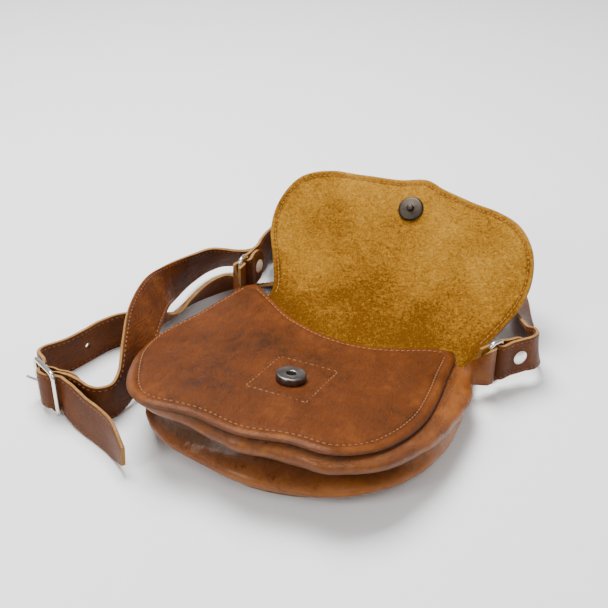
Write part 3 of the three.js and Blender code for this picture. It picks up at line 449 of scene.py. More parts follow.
def wire_piece(name, path, radius, closed=True):
    """A round wire: a curve with a round section, turned into a mesh."""
    curve = bpy.data.curves.new(name, "CURVE")
    curve.dimensions = "3D"
    curve.bevel_depth = radius * MM
    curve.bevel_resolution = 5
    curve.use_fill_caps = not closed
    line = curve.splines.new("POLY")
    line.points.add(len(path) - 1)
    for knot, p in zip(line.points, path):
        knot.co = (*(p * MM), 1)
    line.use_cyclic_u = closed
    obj = bpy.data.objects.new(name, curve)
    bpy.context.scene.collection.objects.link(obj)
    pick(obj)
    bpy.ops.object.convert(target="MESH")
    return obj


def round_rectangle(centre, across, up, width, height, corner, steps=8, straight=6):
    points = []
    corners = [(1, 1), (-1, 1), (-1, -1), (1, -1)]
    for quarter, (sx, sy) in enumerate(corners):
        for i in range(steps + 1):
            angle = math.pi / 2 * (quarter + i / steps)
            a = sx * (width / 2 - corner) + corner * math.cos(angle)
            b = sy * (height / 2 - corner) + corner * math.sin(angle)
            points.append(centre + across * a + up * b)
        nx, ny = corners[(quarter + 1) % 4]
        angle = math.pi / 2 * (quarter + 1)
        end = centre + across * (nx * (width / 2 - corner) + corner * math.cos(angle))
        end = end + up * (ny * (height / 2 - corner) + corner * math.sin(angle))
        start = points[-1]
        points += [start.lerp(end, k / straight) for k in range(1, straight)]
    return points


def turned_piece(name, profile, place, axis, sides=40):
    """A turned piece: a profile of radius and height is spun round its axis and stood on its seat."""
    mesh = bpy.data.meshes.new(name)
    mesh.from_pydata([(radius * MM, 0, height * MM) for radius, height in profile],
                     [(i, i + 1) for i in range(len(profile) - 1)], [])
    obj = bpy.data.objects.new(name, mesh)
    bpy.context.scene.collection.objects.link(obj)
    pick(obj)
    bpy.ops.object.mode_set(mode="EDIT")
    bpy.ops.mesh.select_all(action="SELECT")
    bpy.ops.mesh.spin(steps=sides, angle=2 * math.pi, center=(0, 0, 0), axis=(0, 0, 1))
    bpy.ops.mesh.select_all(action="SELECT")
    bpy.ops.mesh.remove_doubles(threshold=1e-6)
    bpy.ops.object.mode_set(mode="OBJECT")
    turn = Vector((0, 0, 1)).rotation_difference(axis.normalized())
    obj.matrix_world = Matrix.Translation(place * MM) @ turn.to_matrix().to_4x4()
    bpy.ops.object.transform_apply()
    return obj


# Stitches
def stitches(name, lines, material):
    """Short threads that dip into the leather at both ends, along lines of (point, normal)."""
    settings = bpy.context.scene.sling_bag
    length, spacing = settings.stitch_length / MM, settings.stitch_pitch / MM
    radius = settings.thread_radius / MM
    points, faces = [], []
    sides, rows = 5, 5             # corners round the thread, rings along a stitch
    for line in lines:
        lengths = [0.0]
        for (a, _), (b, _) in zip(line, line[1:]):
            lengths.append(lengths[-1] + (b - a).length)

        def place(distance):
            k = 0
            while k < len(lengths) - 2 and lengths[k + 1] < distance:
                k += 1
            span = max(1e-6, lengths[k + 1] - lengths[k])
            t = (distance - lengths[k]) / span
            return line[k][0].lerp(line[k + 1][0], t), line[k][1].lerp(line[k + 1][1], t).normalized()

        total = lengths[-1]
        number = int(total / spacing)
        pitch = total / max(1, number)
        for n in range(number):
            start = n * pitch + (pitch - length) / 2
            base = len(points)
            for i in range(rows):
                t = i / (rows - 1)
                p, normal = place(start + t * length)
                ahead, _ = place(min(total, start + t * length + 0.2))
                behind, _ = place(max(0, start + t * length - 0.2))
                along = (ahead - behind).normalized()
                aside = along.cross(normal).normalized()
                rise = radius * (1.1 * math.sin(math.pi * t) - 0.55)
                thick = radius * (0.75 + 0.25 * math.sin(math.pi * t))
                for j in range(sides):
                    angle = 2 * math.pi * j / sides
                    up, across = rise + thick * math.sin(angle), thick * math.cos(angle)
                    points.append(p + normal * up + aside * across)
            for i in range(rows - 1):
                for j in range(sides):
                    k = (j + 1) % sides
                    a, b = base + i * sides, base + (i + 1) * sides
                    faces.append((a + j, b + j, b + k, a + k))
            faces.append(tuple(base + j for j in range(sides)))
            faces.append(tuple(base + (rows - 1) * sides + j for j in range(sides)))
    obj = new_object(name, points, faces)
    return finish_piece(obj, [material], smooth=60)


# Materials
class Wire:
    """A socket that can be used in an expression."""

    def __init__(self, nodes, socket):
        self.nodes, self.socket = nodes, socket

    def _math(self, operation, other, swap=False):
        a, b = (other, self) if swap else (self, other)
        return self.nodes.add("ShaderNodeMath", {"operation": operation}, {0: a, 1: b})

    def __add__(self, other):
        return self._math("ADD", other)

    __radd__ = __add__

    def __mul__(self, other):
        return self._math("MULTIPLY", other)

    __rmul__ = __mul__

    def __sub__(self, other):
        return self._math("SUBTRACT", other)

    def __rsub__(self, other):
        return self._math("SUBTRACT", other, swap=True)


class Finish:
    """A material and its nodes."""

    def __init__(self, name):
        self.material = bpy.data.materials.new(name)
        self.material.use_nodes = True
        self.tree = self.material.node_tree
        self.shader = self.tree.nodes["Principled BSDF"]
        self.place = self.add("ShaderNodeTexCoord", {}, {}, "Object")

    def add(self, kind, settings, values, output=0):
        node = self.tree.nodes.new(kind)
        for key, value in settings.items():
            if key == "stops":
                ramp_node = node.color_ramp
                while len(ramp_node.elements) < len(value):
                    ramp_node.elements.new(0.5)
                for element, (position, colour) in zip(ramp_node.elements, value):
                    element.position = position
                    element.color = (*colour, 1) if len(colour) == 3 else colour
            else:
                setattr(node, key, value)
        for key, value in values.items():
            socket = node.inputs[key]
            if isinstance(value, Wire):
                self.tree.links.new(value.socket, socket)
            else:
                socket.default_value = value
        return Wire(self, node.outputs[output])

    def noise(self, scale, detail=4, rough=0.55, distortion=0, place=None):
        return self.add("ShaderNodeTexNoise", {}, {
            "Vector": place or self.place, "Scale": scale, "Detail": detail,
            "Roughness": rough, "Distortion": distortion})

    def stretched(self, factors, turn=(0, 0, 0)):
        return self.add("ShaderNodeMapping", {}, {"Vector": self.place, "Scale": factors, "Rotation": turn})

    def cells(self, scale):
        return self.add("ShaderNodeTexVoronoi", {"feature": "DISTANCE_TO_EDGE"}, {
            "Vector": self.place, "Scale": scale})

    def attribute(self, name):
        return self.add("ShaderNodeAttribute", {"attribute_name": name}, {}, "Fac")

    def remap(self, wire, low, high, new_low=0.0, new_high=1.0):
        return self.add("ShaderNodeMapRange", {}, {
            0: wire, 1: low, 2: high, 3: new_low, 4: new_high})

    def blend(self, share, a, b, kind="MIX"):
        node = self.tree.nodes.new("ShaderNodeMix")
        node.data_type = "RGBA"
        node.blend_type = kind
        for key, value in ((0, share), (6, a), (7, b)):
            if isinstance(value, Wire):
                self.tree.links.new(value.socket, node.inputs[key])
            elif key == 0:
                node.inputs[key].default_value = value
            else:
                node.inputs[key].default_value = (*value, 1)
        return Wire(self, node.outputs[2])

    def feed(self, **values):
        for key, value in values.items():
            socket = self.shader.inputs[key.replace("_", " ")]
            if isinstance(value, Wire):
                self.tree.links.new(value.socket, socket)
            elif isinstance(value, tuple):
                socket.default_value = (*value, 1)
            else:
                socket.default_value = value
        return self

    def bump(self, height, strength, distance):
        values = {"Height": height, "Strength": strength, "Distance": distance}
        return self.feed(Normal=self.add("ShaderNodeBump", {}, values))


def leather(name, dark, mid, light, grain=1.0, roughness=0.42, gloss=0.3, creased=0.45):
    """Waxed leather that is paler where it is pulled or rubbed and darker in its folds; the darkening in
    folds, grooves and hollows is painted shade, and the paleness on bulges and rolled edges is partly painted
    highlight.
    """
    f = Finish(name)
    cloudy = f.noise(24, 4, 0.6, 0.5)
    blotch = f.noise(70, 5, 0.65, 0.8)
    streak = f.noise(150, 5, 0.65, 1.2, f.stretched((1.0, 0.35, 1.0), (0, 0, 0.5)))
    # The point attribute read here carries real wear together with painted shade in folds, grooves and
    # hollows and painted highlights on bulges and rolled edges.
    share = cloudy * 0.42 + blotch * 0.26 + streak * 0.3 + f.attribute("wear") * 0.35 + 0.06
    colour = f.add("ShaderNodeValToRGB", {"stops": [
        (0.36, dark), (0.47, mix_colour(dark, mid, 0.65)), (0.56, mid), (0.68, mix_colour(mid, light, 0.45)),
        (0.84, light)]}, {0: share})
    pores = f.cells(1300 * grain)
    fine = f.noise(2200 * grain, 3, 0.6)
    wrinkle = f.noise(230, 5, 0.62, 1.8, f.stretched((1.0, 0.4, 1.0), (0, 0, 0.3)))
    crease = f.remap(wrinkle, 0.42, 0.53)
    colour = f.blend(f.remap(pores, 0.0, 0.12, 0.22, 0.0), colour, dark)
    height = f.remap(pores, 0.0, 0.18) * 0.4 + fine * 0.25 + crease * creased + f.noise(95, 3) * 1.0
    f.bump(height, 0.5, 0.0007)
    f.feed(Base_Color=colour, Specular_IOR_Level=gloss, Specular_Tint=(1.0, 0.62, 0.36),
           Coat_Weight=gloss * 0.2, Coat_Roughness=0.22, Coat_Tint=(1.0, 0.8, 0.6),
           Roughness=f.remap(blotch * 0.6 + streak * 0.4, 0.35, 0.65, roughness - 0.08, roughness + 0.14))
    return f.material


def mix_colour(a, b, t):
    return tuple(mix(x, y, t) for x, y in zip(a, b))


def suede(name, dark, mid, light):
    """The napped flesh side of the hide."""
    f = Finish(name)
    cloudy = f.noise(20, 4, 0.6, 0.5)
    clump = f.noise(210, 6, 0.75, 1.5)
    nap = f.noise(650, 5, 0.75, 0.8)
    fibre = f.noise(1300, 3, 0.6, 0, f.stretched((1.0, 0.3, 1.0), (0, 0, 0.8)))
    # On the flap the point attribute read here also holds painted shade along the seam's groove and towards
    # the fold line.
    share = cloudy * 0.3 + clump * 0.55 + nap * 0.6 + f.attribute("wear") * 0.35 - 0.22
    colour = f.add("ShaderNodeValToRGB", {"stops": [
        (0.35, dark), (0.5, mid), (0.66, light)]}, {0: share})
    colour = f.blend(f.remap(fibre, 0.56, 0.7, 0, 0.4), colour, light)
    f.bump(clump * 1.0 + nap * 0.9 + fibre * 0.3, 1.0, 0.0024)
    f.feed(Base_Color=colour, Roughness=0.95, Specular_IOR_Level=0.08, Sheen_Weight=0.05, Sheen_Roughness=0.5,
           Sheen_Tint=light)
    return f.material


def raw_edge(name, dark, light):
    """The cut edge of leather: pale fibres in thin layers."""
    f = Finish(name)
    layers = f.noise(700, 4, 0.6, 0.3, f.stretched((0.5, 0.5, 3.0)))
    patch = f.noise(90, 3)
    colour = f.blend(f.remap(layers * 0.6 + patch * 0.5, 0.35, 0.75), dark, light)
    f.bump(layers, 0.4, 0.0004)
    f.feed(Base_Color=colour, Roughness=0.75, Specular_IOR_Level=0.3)
    return f.material


def metal(name, colour, dull, roughness, plating=1.0):
    """Plated metal with faint smears and a little tarnish."""
    f = Finish(name)
    smear = f.noise(180, 4, 0.6, 0.6)
    speck = f.noise(1400, 3, 0.7)
    f.bump(speck, 0.12, 0.0001)
    f.feed(Base_Color=f.blend(f.remap(smear, 0.45, 0.75, 0, 0.5), colour, dull), Metallic=plating,
           Roughness=f.remap(smear, 0.3, 0.7, roughness, roughness + 0.14))
    return f.material


def thread(name, dark, light):
    f = Finish(name)
    twist = f.noise(1800, 3, 0.6)
    f.bump(twist, 0.4, 0.0003)
    f.feed(Base_Color=f.blend(f.remap(twist, 0.35, 0.65), dark, light), Roughness=0.6, Sheen_Weight=0.2)
    return f.material


def plain_floor(name, colour):
    f = Finish(name)
    f.feed(Base_Color=colour, Roughness=0.8, Specular_IOR_Level=0.2)
    return f.material


# Settings
def colour_setting(name, description, default):
    return bpy.props.FloatVectorProperty(
        name=name, description=description, subtype="COLOR", size=3, default=default, min=0, max=1)


def length_setting(name, description, default, low, high):
    return bpy.props.FloatProperty(
        name=name, description=description, unit="LENGTH", default=default, min=low, max=high)


class BagSettings(bpy.types.PropertyGroup):
    """Stitches and colours of the hides and straps."""

    stitch_length: length_setting("Stitch length", "Length of a stitch that shows", 0.0026, 0.001, 0.006)
    stitch_pitch: length_setting("Stitch pitch", "From one stitch to the next", 0.0035, 0.0015, 0.008)
    thread_radius: length_setting("Thread", "Half the thickness of the thread", 0.00034, 0.0001, 0.001)
    # The dark leather colour also serves as the painted shade in folds, grooves and hollows; the light colour
    # serves partly as the painted highlight on bulges.
    panel_dark: colour_setting("Leather, dark", "Leather in its folds", (0.028, 0.0055, 0.0008))
    panel_mid: colour_setting("Leather", "Leather where it lies flat", (0.1, 0.0215, 0.0016))
    panel_light: colour_setting("Leather, light", "Leather where it is pulled", (0.34, 0.105, 0.014))
    suede_mid: colour_setting("Suede", "Flesh side of the flap", (0.4, 0.172, 0.013))
    edge_light: colour_setting("Raw edge", "Cut edge of the leather", (0.36, 0.19, 0.055))
    thread_colour: colour_setting("Thread colour", "Stitches of the front panel", (0.34, 0.115, 0.01))


class MetalSettings(bpy.types.PropertyGroup):
    """Colours of the metal."""

    nickel: colour_setting("Nickel", "Rings and buckle", (0.78, 0.75, 0.70))
    gunmetal: colour_setting("Gunmetal", "Socket of the magnetic snap", (0.16, 0.145, 0.14))


MATERIALS = {}


def make_materials():
    s, m = bpy.context.scene.sling_bag, bpy.context.scene.sling_bag_metal
    dark, mid, light = tuple(s.panel_dark), tuple(s.panel_mid), tuple(s.panel_light)
    sewn, nickel = tuple(s.thread_colour), tuple(m.nickel)
    return {
        "panel": leather("Panel leather", dark, mid, mix_colour(mid, light, 0.6)),
        # The gusset's pale end is where the painted highlights on its bulges land.
        "gusset": leather("Gusset leather", dark, mix_colour(mid, light, 0.04), mix_colour(mid, light, 0.9),
                          roughness=0.33, gloss=0.6, creased=0.35),
        "strap": leather("Strap leather", dark, mix_colour(dark, mid, 0.85), mix_colour(mid, light, 0.5),
                         grain=1.2, roughness=0.46, gloss=0.25, creased=0.9),
        "suede": suede("Suede", (0.16, 0.055, 0.004), tuple(s.suede_mid), (0.6, 0.3, 0.035)),
        "flap_thread": thread("Flap thread", (0.26, 0.085, 0.004), (0.5, 0.2, 0.014)),
        "edge": raw_edge("Raw edge", (0.16, 0.07, 0.02), tuple(s.edge_light)),
        "dark_edge": raw_edge("Burnished edge", (0.04, 0.012, 0.003), (0.14, 0.045, 0.012)),
        "thread": thread("Thread", mix_colour(sewn, (0, 0, 0), 0.35), sewn),
        "nickel": metal("Nickel plate", nickel, mix_colour(nickel, (0.3, 0.26, 0.2), 0.5), 0.16),
        "gunmetal": metal("Gunmetal", tuple(m.gunmetal), (0.3, 0.27, 0.26), 0.28),
        "rivet": metal("Rivet nickel", (0.92, 0.9, 0.87), (0.7, 0.66, 0.6), 0.3, 0.6),
        "bronze": metal("Dark bronze", (0.05, 0.04, 0.032), (0.11, 0.085, 0.06), 0.4),
        "strap_thread": thread("Strap thread", (0.1, 0.028, 0.006), (0.26, 0.09, 0.018)),
        "floor": plain_floor("Pale floor", (0.9, 0.9, 0.9)),
    }


def material(key):
    """The materials are made once, when the first of them is asked for."""
    if not MATERIALS:
        MATERIALS.update(make_materials())
    return MATERIALS[key]


def laid_on(surface, relief):
    """Gives the point and normal on top of a hide, with its relief."""
    def raised(x, y):
        point, normal = surface(x, y)
        return point + normal * (LEATHER / 2 + relief(x, y)), normal
    return raised


# Front panel
PATCH_HALF = (19.0, 21.5)      # half the sewn rectangle behind the snap
PATCH_MIDDLE = (0.0, SNAP_Y + 2.4)
STITCH_INSET = 7.0             # from the edge to the seam, low on the panel
MOUTH_INSET = 4.2              # the same along the mouth
CORNER_INSET = 3.0             # the same at the left corner
# Rings of points from the middle of a hide to its edge, closer together towards the edge
PANEL_RINGS = (0.07, 0.14, 0.2, 0.26, 0.32, 0.38, 0.44, 0.5, 0.56, 0.61, 0.66, 0.7, 0.74, 0.78, 0.81,
               0.84, 0.865, 0.885, 0.9, 0.915, 0.93, 0.942, 0.954, 0.965, 0.975, 0.984, 0.992, 1.0)
FLAP_RINGS = (0.06, 0.12, 0.18, 0.24, 0.3, 0.36, 0.42, 0.48, 0.54, 0.6, 0.65, 0.7, 0.74, 0.78, 0.82,
              0.855, 0.885, 0.91, 0.93, 0.945, 0.96, 0.97, 0.98, 0.988, 0.994, 1.0)


def seam_inset(x, y):
    """The seam runs close to the edge at the left of the panel and further inside round its bottom."""
    return mix(CORNER_INSET, STITCH_INSET, ramp(-92, -45, x - 0.5 * y))


def front_outline():
    steps = 200
    points = []
    for i in range(steps + 1):
        at = LAST_SEAM * i / steps
        points.append(front_seam(at) + outward_of(front_seam, at) * RAW_EDGE)
    mouth = [Vector((x * HALF_WIDTH, y * SNAP_TO_HINGE, 0)) for x, y in MOUTH]
    return points, [curve_point(mouth, i / 70) for i in range(71)]


def edge_distance(line):
    """Distance in plan from a point to a line of points."""
    dense = []
    for a, b in zip(line, line[1:]):
        pieces = max(1, int((b - a).length / 0.5))
        dense += [a.lerp(b, k / pieces) for k in range(pieces)]
    tree = KDTree(len(dense))
    for i, p in enumerate(dense):
        tree.insert(p, i)
    tree.balance()
    return lambda x, y: tree.find(Vector((x, y, 0)))[2]


def patch_distance(x, y):
    """Signed distance to the sewn rectangle, positive outside."""
    dx = abs(x - PATCH_MIDDLE[0]) - PATCH_HALF[0]
    dy = abs(y - PATCH_MIDDLE[1]) - PATCH_HALF[1]
    return max(dx, dy) if max(dx, dy) < 0 else math.hypot(max(dx, 0), max(dy, 0))


def soft_noise(x, y, scale, seed=0.0):
    return noise.noise(Vector((x / scale, y / scale, seed)))


class SLINGBAG_OT_front_panel(bpy.types.Operator):
    """Front panel with its edge seam and the sewn patch round the snap"""

    bl_idname = "slingbag.front_panel"
    bl_label = "Front Panel"

    def execute(self, context):
        seam_line, mouth_line = front_outline()
        outline = seam_line + mouth_line
        seam_distance, mouth_distance = edge_distance(seam_line), edge_distance(mouth_line)

        def groove(x, y, width):
            from_seam, from_mouth = seam_distance(x, y), mouth_distance(x, y)
            inset = seam_inset(x, y)
            round_seam = dip(from_seam - inset, width) * ramp(MOUTH_INSET - 1, MOUTH_INSET, from_mouth)
            round_mouth = dip(from_mouth - MOUTH_INSET, width) * ramp(inset - 1, inset, from_seam)
            return max(round_seam, round_mouth)

        def distance(x, y):
            return min(seam_distance(x, y), mouth_distance(x, y))

        def relief(x, y):
            d = distance(x, y)
            seam = -0.5 * groove(x, y, 1.3) + 0.4 * dip(seam_distance(x, y) - 3.6, 2.0)
            roll = -1.3 * ramp(3.0, 0.0, d)
            patch = patch_distance(x, y)
            sewn = -0.3 * dip(patch, 1.0) + 0.25 * ramp(0.5, -2.0, patch)
            waves = 0.9 * soft_noise(x, y, 38, 3.1) + 0.35 * soft_noise(x, y, 14, 8.2)
            return seam + roll * 0.6 + sewn + waves * ramp(0, 14, d)

        # Colour marks: a paler band along the rolled edge, rubbed leather with a painted highlight where it
        # bends over; painted shade in the seam's groove; paler towards the lower right; random tone.
        def wear(x, y):
            d = distance(x, y)
            return (0.25 * dip(d - 2.6, 2.0) - 0.3 * groove(x, y, 1.0)
                    + 0.18 * ramp(-0.2, -0.9, y / SNAP_TO_HINGE) * ramp(0.3, 1, x / HALF_WIDTH)
                    - 0.1 + 0.25 * soft_noise(x, y, 45, 1.7))

        obj = hide_piece("front_panel_hide", outline, Vector((-0.08 * HALF_WIDTH, -0.1 * SNAP_TO_HINGE, 0)),
                         front_surface, LEATHER, PANEL_RINGS, relief, {"wear": wear})
        finish_piece(obj, [material("panel"), material("dark_edge"), material("suede")],
                     ["front_panel"], 50)

        raised = laid_on(front_surface, relief)
        lines = [inset_line(seam_line, seam_inset, raised, 5),
                 inset_line(mouth_line, lambda x, y: MOUTH_INSET, raised, 7)]
        px, py = PATCH_MIDDLE
        hx, hy = PATCH_HALF
        corners = [(px - hx, py - hy), (px + hx, py - hy), (px + hx, py + hy), (px - hx, py + hy)]
        for (ax, ay), (bx, by) in zip(corners, corners[1:] + corners[:1]):
            lines.append([raised(mix(ax, bx, t / 12), mix(ay, by, t / 12)) for t in range(13)])
        stitches("front_panel_stitches", lines, material("thread"))
        return {"FINISHED"}


def inset_line(line, inset, raised, trim):
    """A line parallel to an open line of points, inside it, laid on the leather; its ends are cut short."""
    flat = []
    for before, p, after in zip(line, line[1:], line[2:]):
        along = (after - before).normalized()
        place = p + Vector((-along.y, along.x, 0)) * inset(p.x, p.y)
        if not flat or (place - flat[-1]).dot(along) > 0.2:
            flat.append(place)
    ends = line[0], line[-1]
    kept = [p for p in flat if min((p - end).length for end in ends) > trim]
    return [raised(p.x, p.y) for p in kept]


# Gusset
GUSSET_STEPS, GUSSET_COUNT = 300, 52   # points along the gusset and over its section
TAB_COUNT = 11                         # points across a tab before it is smoothed


def gusset_section(at, count):
    """The gusset's section from under the front panel down to the back panel."""
    front, front_out = front_seam(at), outward_of(front_seam, at)
    back, back_out = back_seam(at), outward_of(back_seam, at)
    edge = on_front(front - front_out)
    foot = on_back(back - back_out)
    top = on_front(front - front_out * SEAM_ALLOWANCE)
    heel = on_back(back - back_out * SEAM_ALLOWANCE)

    def bulge(share, height):
        out = front_out.lerp(back_out, 1 - height).normalized()
        out = out.lerp(ring_place("left")["outer"], ramp(1.5, 0, at)).normalized()
        out = out.lerp(ring_place("right")["outer"], ramp(LAST_SEAM - 1.5, LAST_SEAM, at)).normalized()
        return foot.lerp(edge, height) + out * share * GUSSET_BULGE

    upper, crease, lower = (seam_at(key, at) for key in ("upper", "crease", "lower"))
    wall = [edge, bulge(upper * 0.8 + 0.12, 0.88), bulge(upper, 0.76), bulge(crease, 0.62),
            bulge(mix(crease, lower, 0.45), 0.44), bulge(lower, 0.27), bulge(lower * 0.6, 0.1), foot]
    return [top, *(curve_point(wall, k / (count - 3)) for k in range(count - 2)), heel]


class SLINGBAG_OT_gusset(bpy.types.Operator):
    """Gusset round the side and bottom, with its folds and the tabs for the rings"""

    bl_idname = "slingbag.gusset"
    bl_label = "Gusset"

    def execute(self, context):
        count = GUSSET_COUNT
        grid, wear = [], []
        for i in range(GUSSET_STEPS + 1):
            at = LAST_SEAM * i / GUSSET_STEPS
            section = gusset_section(at, count)
            out = outward_of(front_seam, at)
            row, marks = [], []
            crease = seam_at("crease", at)
            for j, p in enumerate(section):
                height = 1 - (j - 1) / (count - 3)
                inside = 1 if 2 < j < count - 3 else 0
                fold = (1.8 * noise.noise(Vector((at * 0.8, height * 1.5, 2.0)))
                        + 0.8 * noise.noise(Vector((at * 2.2 + height * 2.0, height * 1.5, 7.0))))
                fold += 0.3 * noise.noise(Vector((at * 5.5 - height * 3.0, height * 2.0, 4.0)))
                fold += 0.25 * noise.noise(Vector((at * 11.0, height * 1.6, 11.0))) * dip(height - 0.5, 0.22)
                fold *= ramp(0.02, 0.4, height) * ramp(1.0, 0.85, height)
                row.append(p + out * fold * inside)
                # Colour marks down the section: paler on the lower bulge and the upper roll, a painted
                # highlight on top of the paleness of stretched pull-up leather; painted shade in the crease,
                # under the front panel's edge, at the foot and in the recess along the left part; paler
                # towards the right end.
                crease_shade = ramp(0.3, -0.4, crease)
                marks.append(0.36 * dip(height - 0.3, 0.15) + 0.12 * dip(height - 0.84, 0.07)
                             - 1.3 * crease_shade * dip(height - 0.57, 0.15) - 0.5 * ramp(0.92, 1.0, height)
                             - 0.35 * ramp(0.1, 0.0, height) + 0.22 * ramp(12, 15, at)
                             - 0.3 * ramp(7, 4, at) * ramp(0.3, 0.5, height))
            grid.append(row)
            wear.append(marks)
        front, back = thicken(grid, LEATHER)
        flat = [m for row in wear for m in row] * 2
        obj = grid_piece("gusset_hide", front, back, {"wear": flat},
                         lambda side, i, j: FLESH if side == 0 else TOP)
        finish_piece(obj, [material("gusset"), material("dark_edge"), material("suede")],
                     ["gusset"], 60)
        for name in RINGS:
            self.tab(name)
        return {"FINISHED"}

    def tab(self, name):
        """The end of the gusset's wall narrows to a tab that folds round the ring's bar."""
        at, inner = (0, 0.4) if name == "left" else (LAST_SEAM, LAST_SEAM - 0.4)
        place = ring_place(name)
        bar, head, outer = place["tab_bar"], place["head"], place["outer"]
        radius = RING_WIRE / 2 + GAP + LEATHER / 2
        root, start = (gusset_section(place_on, TAB_COUNT + 4)[2:-2] for place_on in (at, inner))

        def stop(along, side):
            return bar + head * along + outer * side

        middles = [stop(-3, radius), stop(-1.5, radius)]
        turns = [math.pi * i / 8 for i in range(9)]
        middles += [stop(radius * math.sin(turn), radius * math.cos(turn)) for turn in turns]
        middles += [stop(-3, -radius), stop(-6, -radius)]
        rows = [start, root]
        for middle in middles:
            rows.append([middle + Vector((0, 0, (0.5 - j / (TAB_COUNT - 1)) * STRAP_WIDTH))
                         for j in range(TAB_COUNT)])
        dense = []
        columns = [[row[j] for row in rows] for j in range(TAB_COUNT)]
        steps = 60
        for i in range(steps + 1):
            line = [curve_point(column, i / steps) for column in columns]
            dense.append([curve_point(line, k / 20) for k in range(21)])
        front, back = thicken(dense, LEATHER * 0.96)
        wear = [0.1] * (len(dense) * len(dense[0]) * 2)
        obj = grid_piece(f"gusset_tab_{name}", front, back, {"wear": wear},
                         lambda side, i, j: TOP if (side == 0) == (name == "left") else FLESH)
        finish_piece(obj, [material("gusset"), material("edge"), material("suede")], (), 60)


# Back panel and flap
FLAP_INSET = 3.8               # from the edge to the seam
FLAP_SEAM_START = 14           # from the fold line to the seam's ends


def hide_outline():
    steps = 150
    points = []
    for i in range(steps + 1):
        at = LAST_SEAM * i / steps
        points.append(back_seam(at) + outward_of(back_seam, at))
    flap = [Vector((x * HALF_WIDTH, HINGE_Y + along * FLAP_REACH, 0)) for x, along in FLAP_EDGE]
    points += [curve_point(flap, 1 - i / 200) for i in range(201)]
    return points


class SLINGBAG_OT_flap(bpy.types.Operator):
    """Back panel and flap, smooth outside and napped inside"""

    bl_idname = "slingbag.flap"
    bl_label = "Back Panel and Flap"

    def execute(self, context):
        outline = hide_outline()
        distance = edge_distance(outline + outline[:1])

        def relief(x, y):
            d = distance(x, y)
            along = y - HINGE_Y
            waves = 1.6 * soft_noise(x, y, 52, 5.5) + 0.6 * soft_noise(x, y, 21, 9.4)
            groove = -0.35 * dip(d - FLAP_INSET, 1.1) * ramp(15, 30, along)
            return waves * ramp(10, 45, along) + groove

        # Random tone of the suede, with painted shade along the seam's groove and towards the fold line.
        def wear(x, y):
            d = distance(x, y)
            fold = ramp(HINGE_Y + 85, HINGE_Y + 5, y)
            return 0.25 * soft_noise(x, y, 30, 4.4) - 0.5 * dip(d - FLAP_INSET, 1.1) - 0.5 * fold + 0.1

        obj = hide_piece("flap_hide", outline, Vector((0, 0.9 * HINGE_Y, 0)), hide_surface, LEATHER,
                         FLAP_RINGS, relief, {"wear": wear})
        finish_piece(obj, [material("suede"), material("edge"), material("gusset")],
                     ["back_flap"], 50)

        free = [p for p in outline if p.y > HINGE_Y + FLAP_SEAM_START]
        seam = inset_line(free, lambda x, y: FLAP_INSET, laid_on(hide_surface, relief), 2)
        stitches("flap_stitches", [seam], material("flap_thread"))
        return {"FINISHED"}


# Straps
def leaned(lean_x, lean_y):
    return Vector((lean_x, lean_y, math.sqrt(max(0.0001, 1 - lean_x ** 2 - lean_y ** 2))))


def station(x, y, lift, across):
    z = FLOOR_GAP + STRAP_THICKNESS / 2 * math.hypot(across.x, across.y) + lift + across.z * STRAP_WIDTH / 2
    return Vector((x, y, z)), across


def route_stations(route):
    return [station(x * HALF_WIDTH, y * SNAP_TO_HINGE, lift * STRAP_WIDTH, leaned(a, b))
            for x, y, lift, a, b in route]


def ring_fold(name, tongue_side, direction):
    place = ring_place(name)
    along = Vector((*direction, 0)).normalized()
    sideways = Vector((along.y, -along.x, 0))
    sideways *= math.copysign(1, sideways.dot(place["outer"])) * tongue_side
    loose = RING_WIRE / 2 + GAP + STRAP_THICKNESS / 2
    closed = STRAP_THICKNESS / 2 + GAP

    def at(forward, side):
        return place["strap_bar"] + along * forward + sideways * side, Vector((0, 0, 1))

    folded = [(1, closed), (0.81, closed), (0.52, closed), (0.33, closed * 1.05), (0.14, loose * 0.85)]
    stations = [at(TONGUE * share, side) for share, side in folded]
    stations += [at(-loose * math.sin(math.pi * i / 4), loose * math.cos(math.pi * i / 4)) for i in range(5)]
    stations += [at(TONGUE * share, -side) for share, side in reversed(folded)]
    return stations, (place["strap_bar"] + along * RIVET_SET, sideways)


LEFT_FOLD, LEFT_RIVET = ring_fold("left", -1, (-0.03, 1))
RIGHT_FOLD, RIGHT_RIVET = ring_fold("right", -1, (0.64, 0.77))


def buckle_place():
    head = Vector((*BUCKLE["head"], 0)).normalized()
    front = Vector((head.y, -head.x, 0))
    height = STRAP_WIDTH + 2 * RING_CLEAR + BUCKLE_WIRE
    lift = (height + BUCKLE_WIRE) / 2 + FLOOR_GAP
    centre = Vector((BUCKLE["x"] * HALF_WIDTH, BUCKLE["y"] * SNAP_TO_HINGE, lift))
    return dict(head=head, front=front, height=height, centre=centre, bar=centre - front * BAR_BACK)


def buckle_stations():
    b = buckle_place()

    def at(start, along, forward):
        p = start + b["head"] * along + b["front"] * forward
        return station(p.x, p.y, BUCKLE_LIFT, Vector((0, 0, 1)))

    behind = -1.25 * (BUCKLE_WIRE / 2 + GAP + STRAP_THICKNESS / 2)
    half = BUCKLE_LENGTH / 2
    return [at(b["centre"], -half + BUCKLE_BAR, -1.6 * BUCKLE_WIRE), at(b["bar"], -OVER_BAR, 0.2),
            at(b["bar"], -OVER_BAR * 0.72, OVER_BAR * 0.72), at(b["bar"], 0, OVER_BAR),
            at(b["bar"], OVER_BAR, OVER_BAR * 0.7), at(b["centre"], half - BUCKLE_WIRE, behind * 0.55),
            at(b["centre"], half, behind * 1.08)]


def rounded_end(distance):
    radius = STRAP_WIDTH * 0.4
    inside = min(distance, radius)
    return STRAP_WIDTH / 2 - radius + math.sqrt(max(0.01, radius ** 2 - (radius - inside) ** 2))


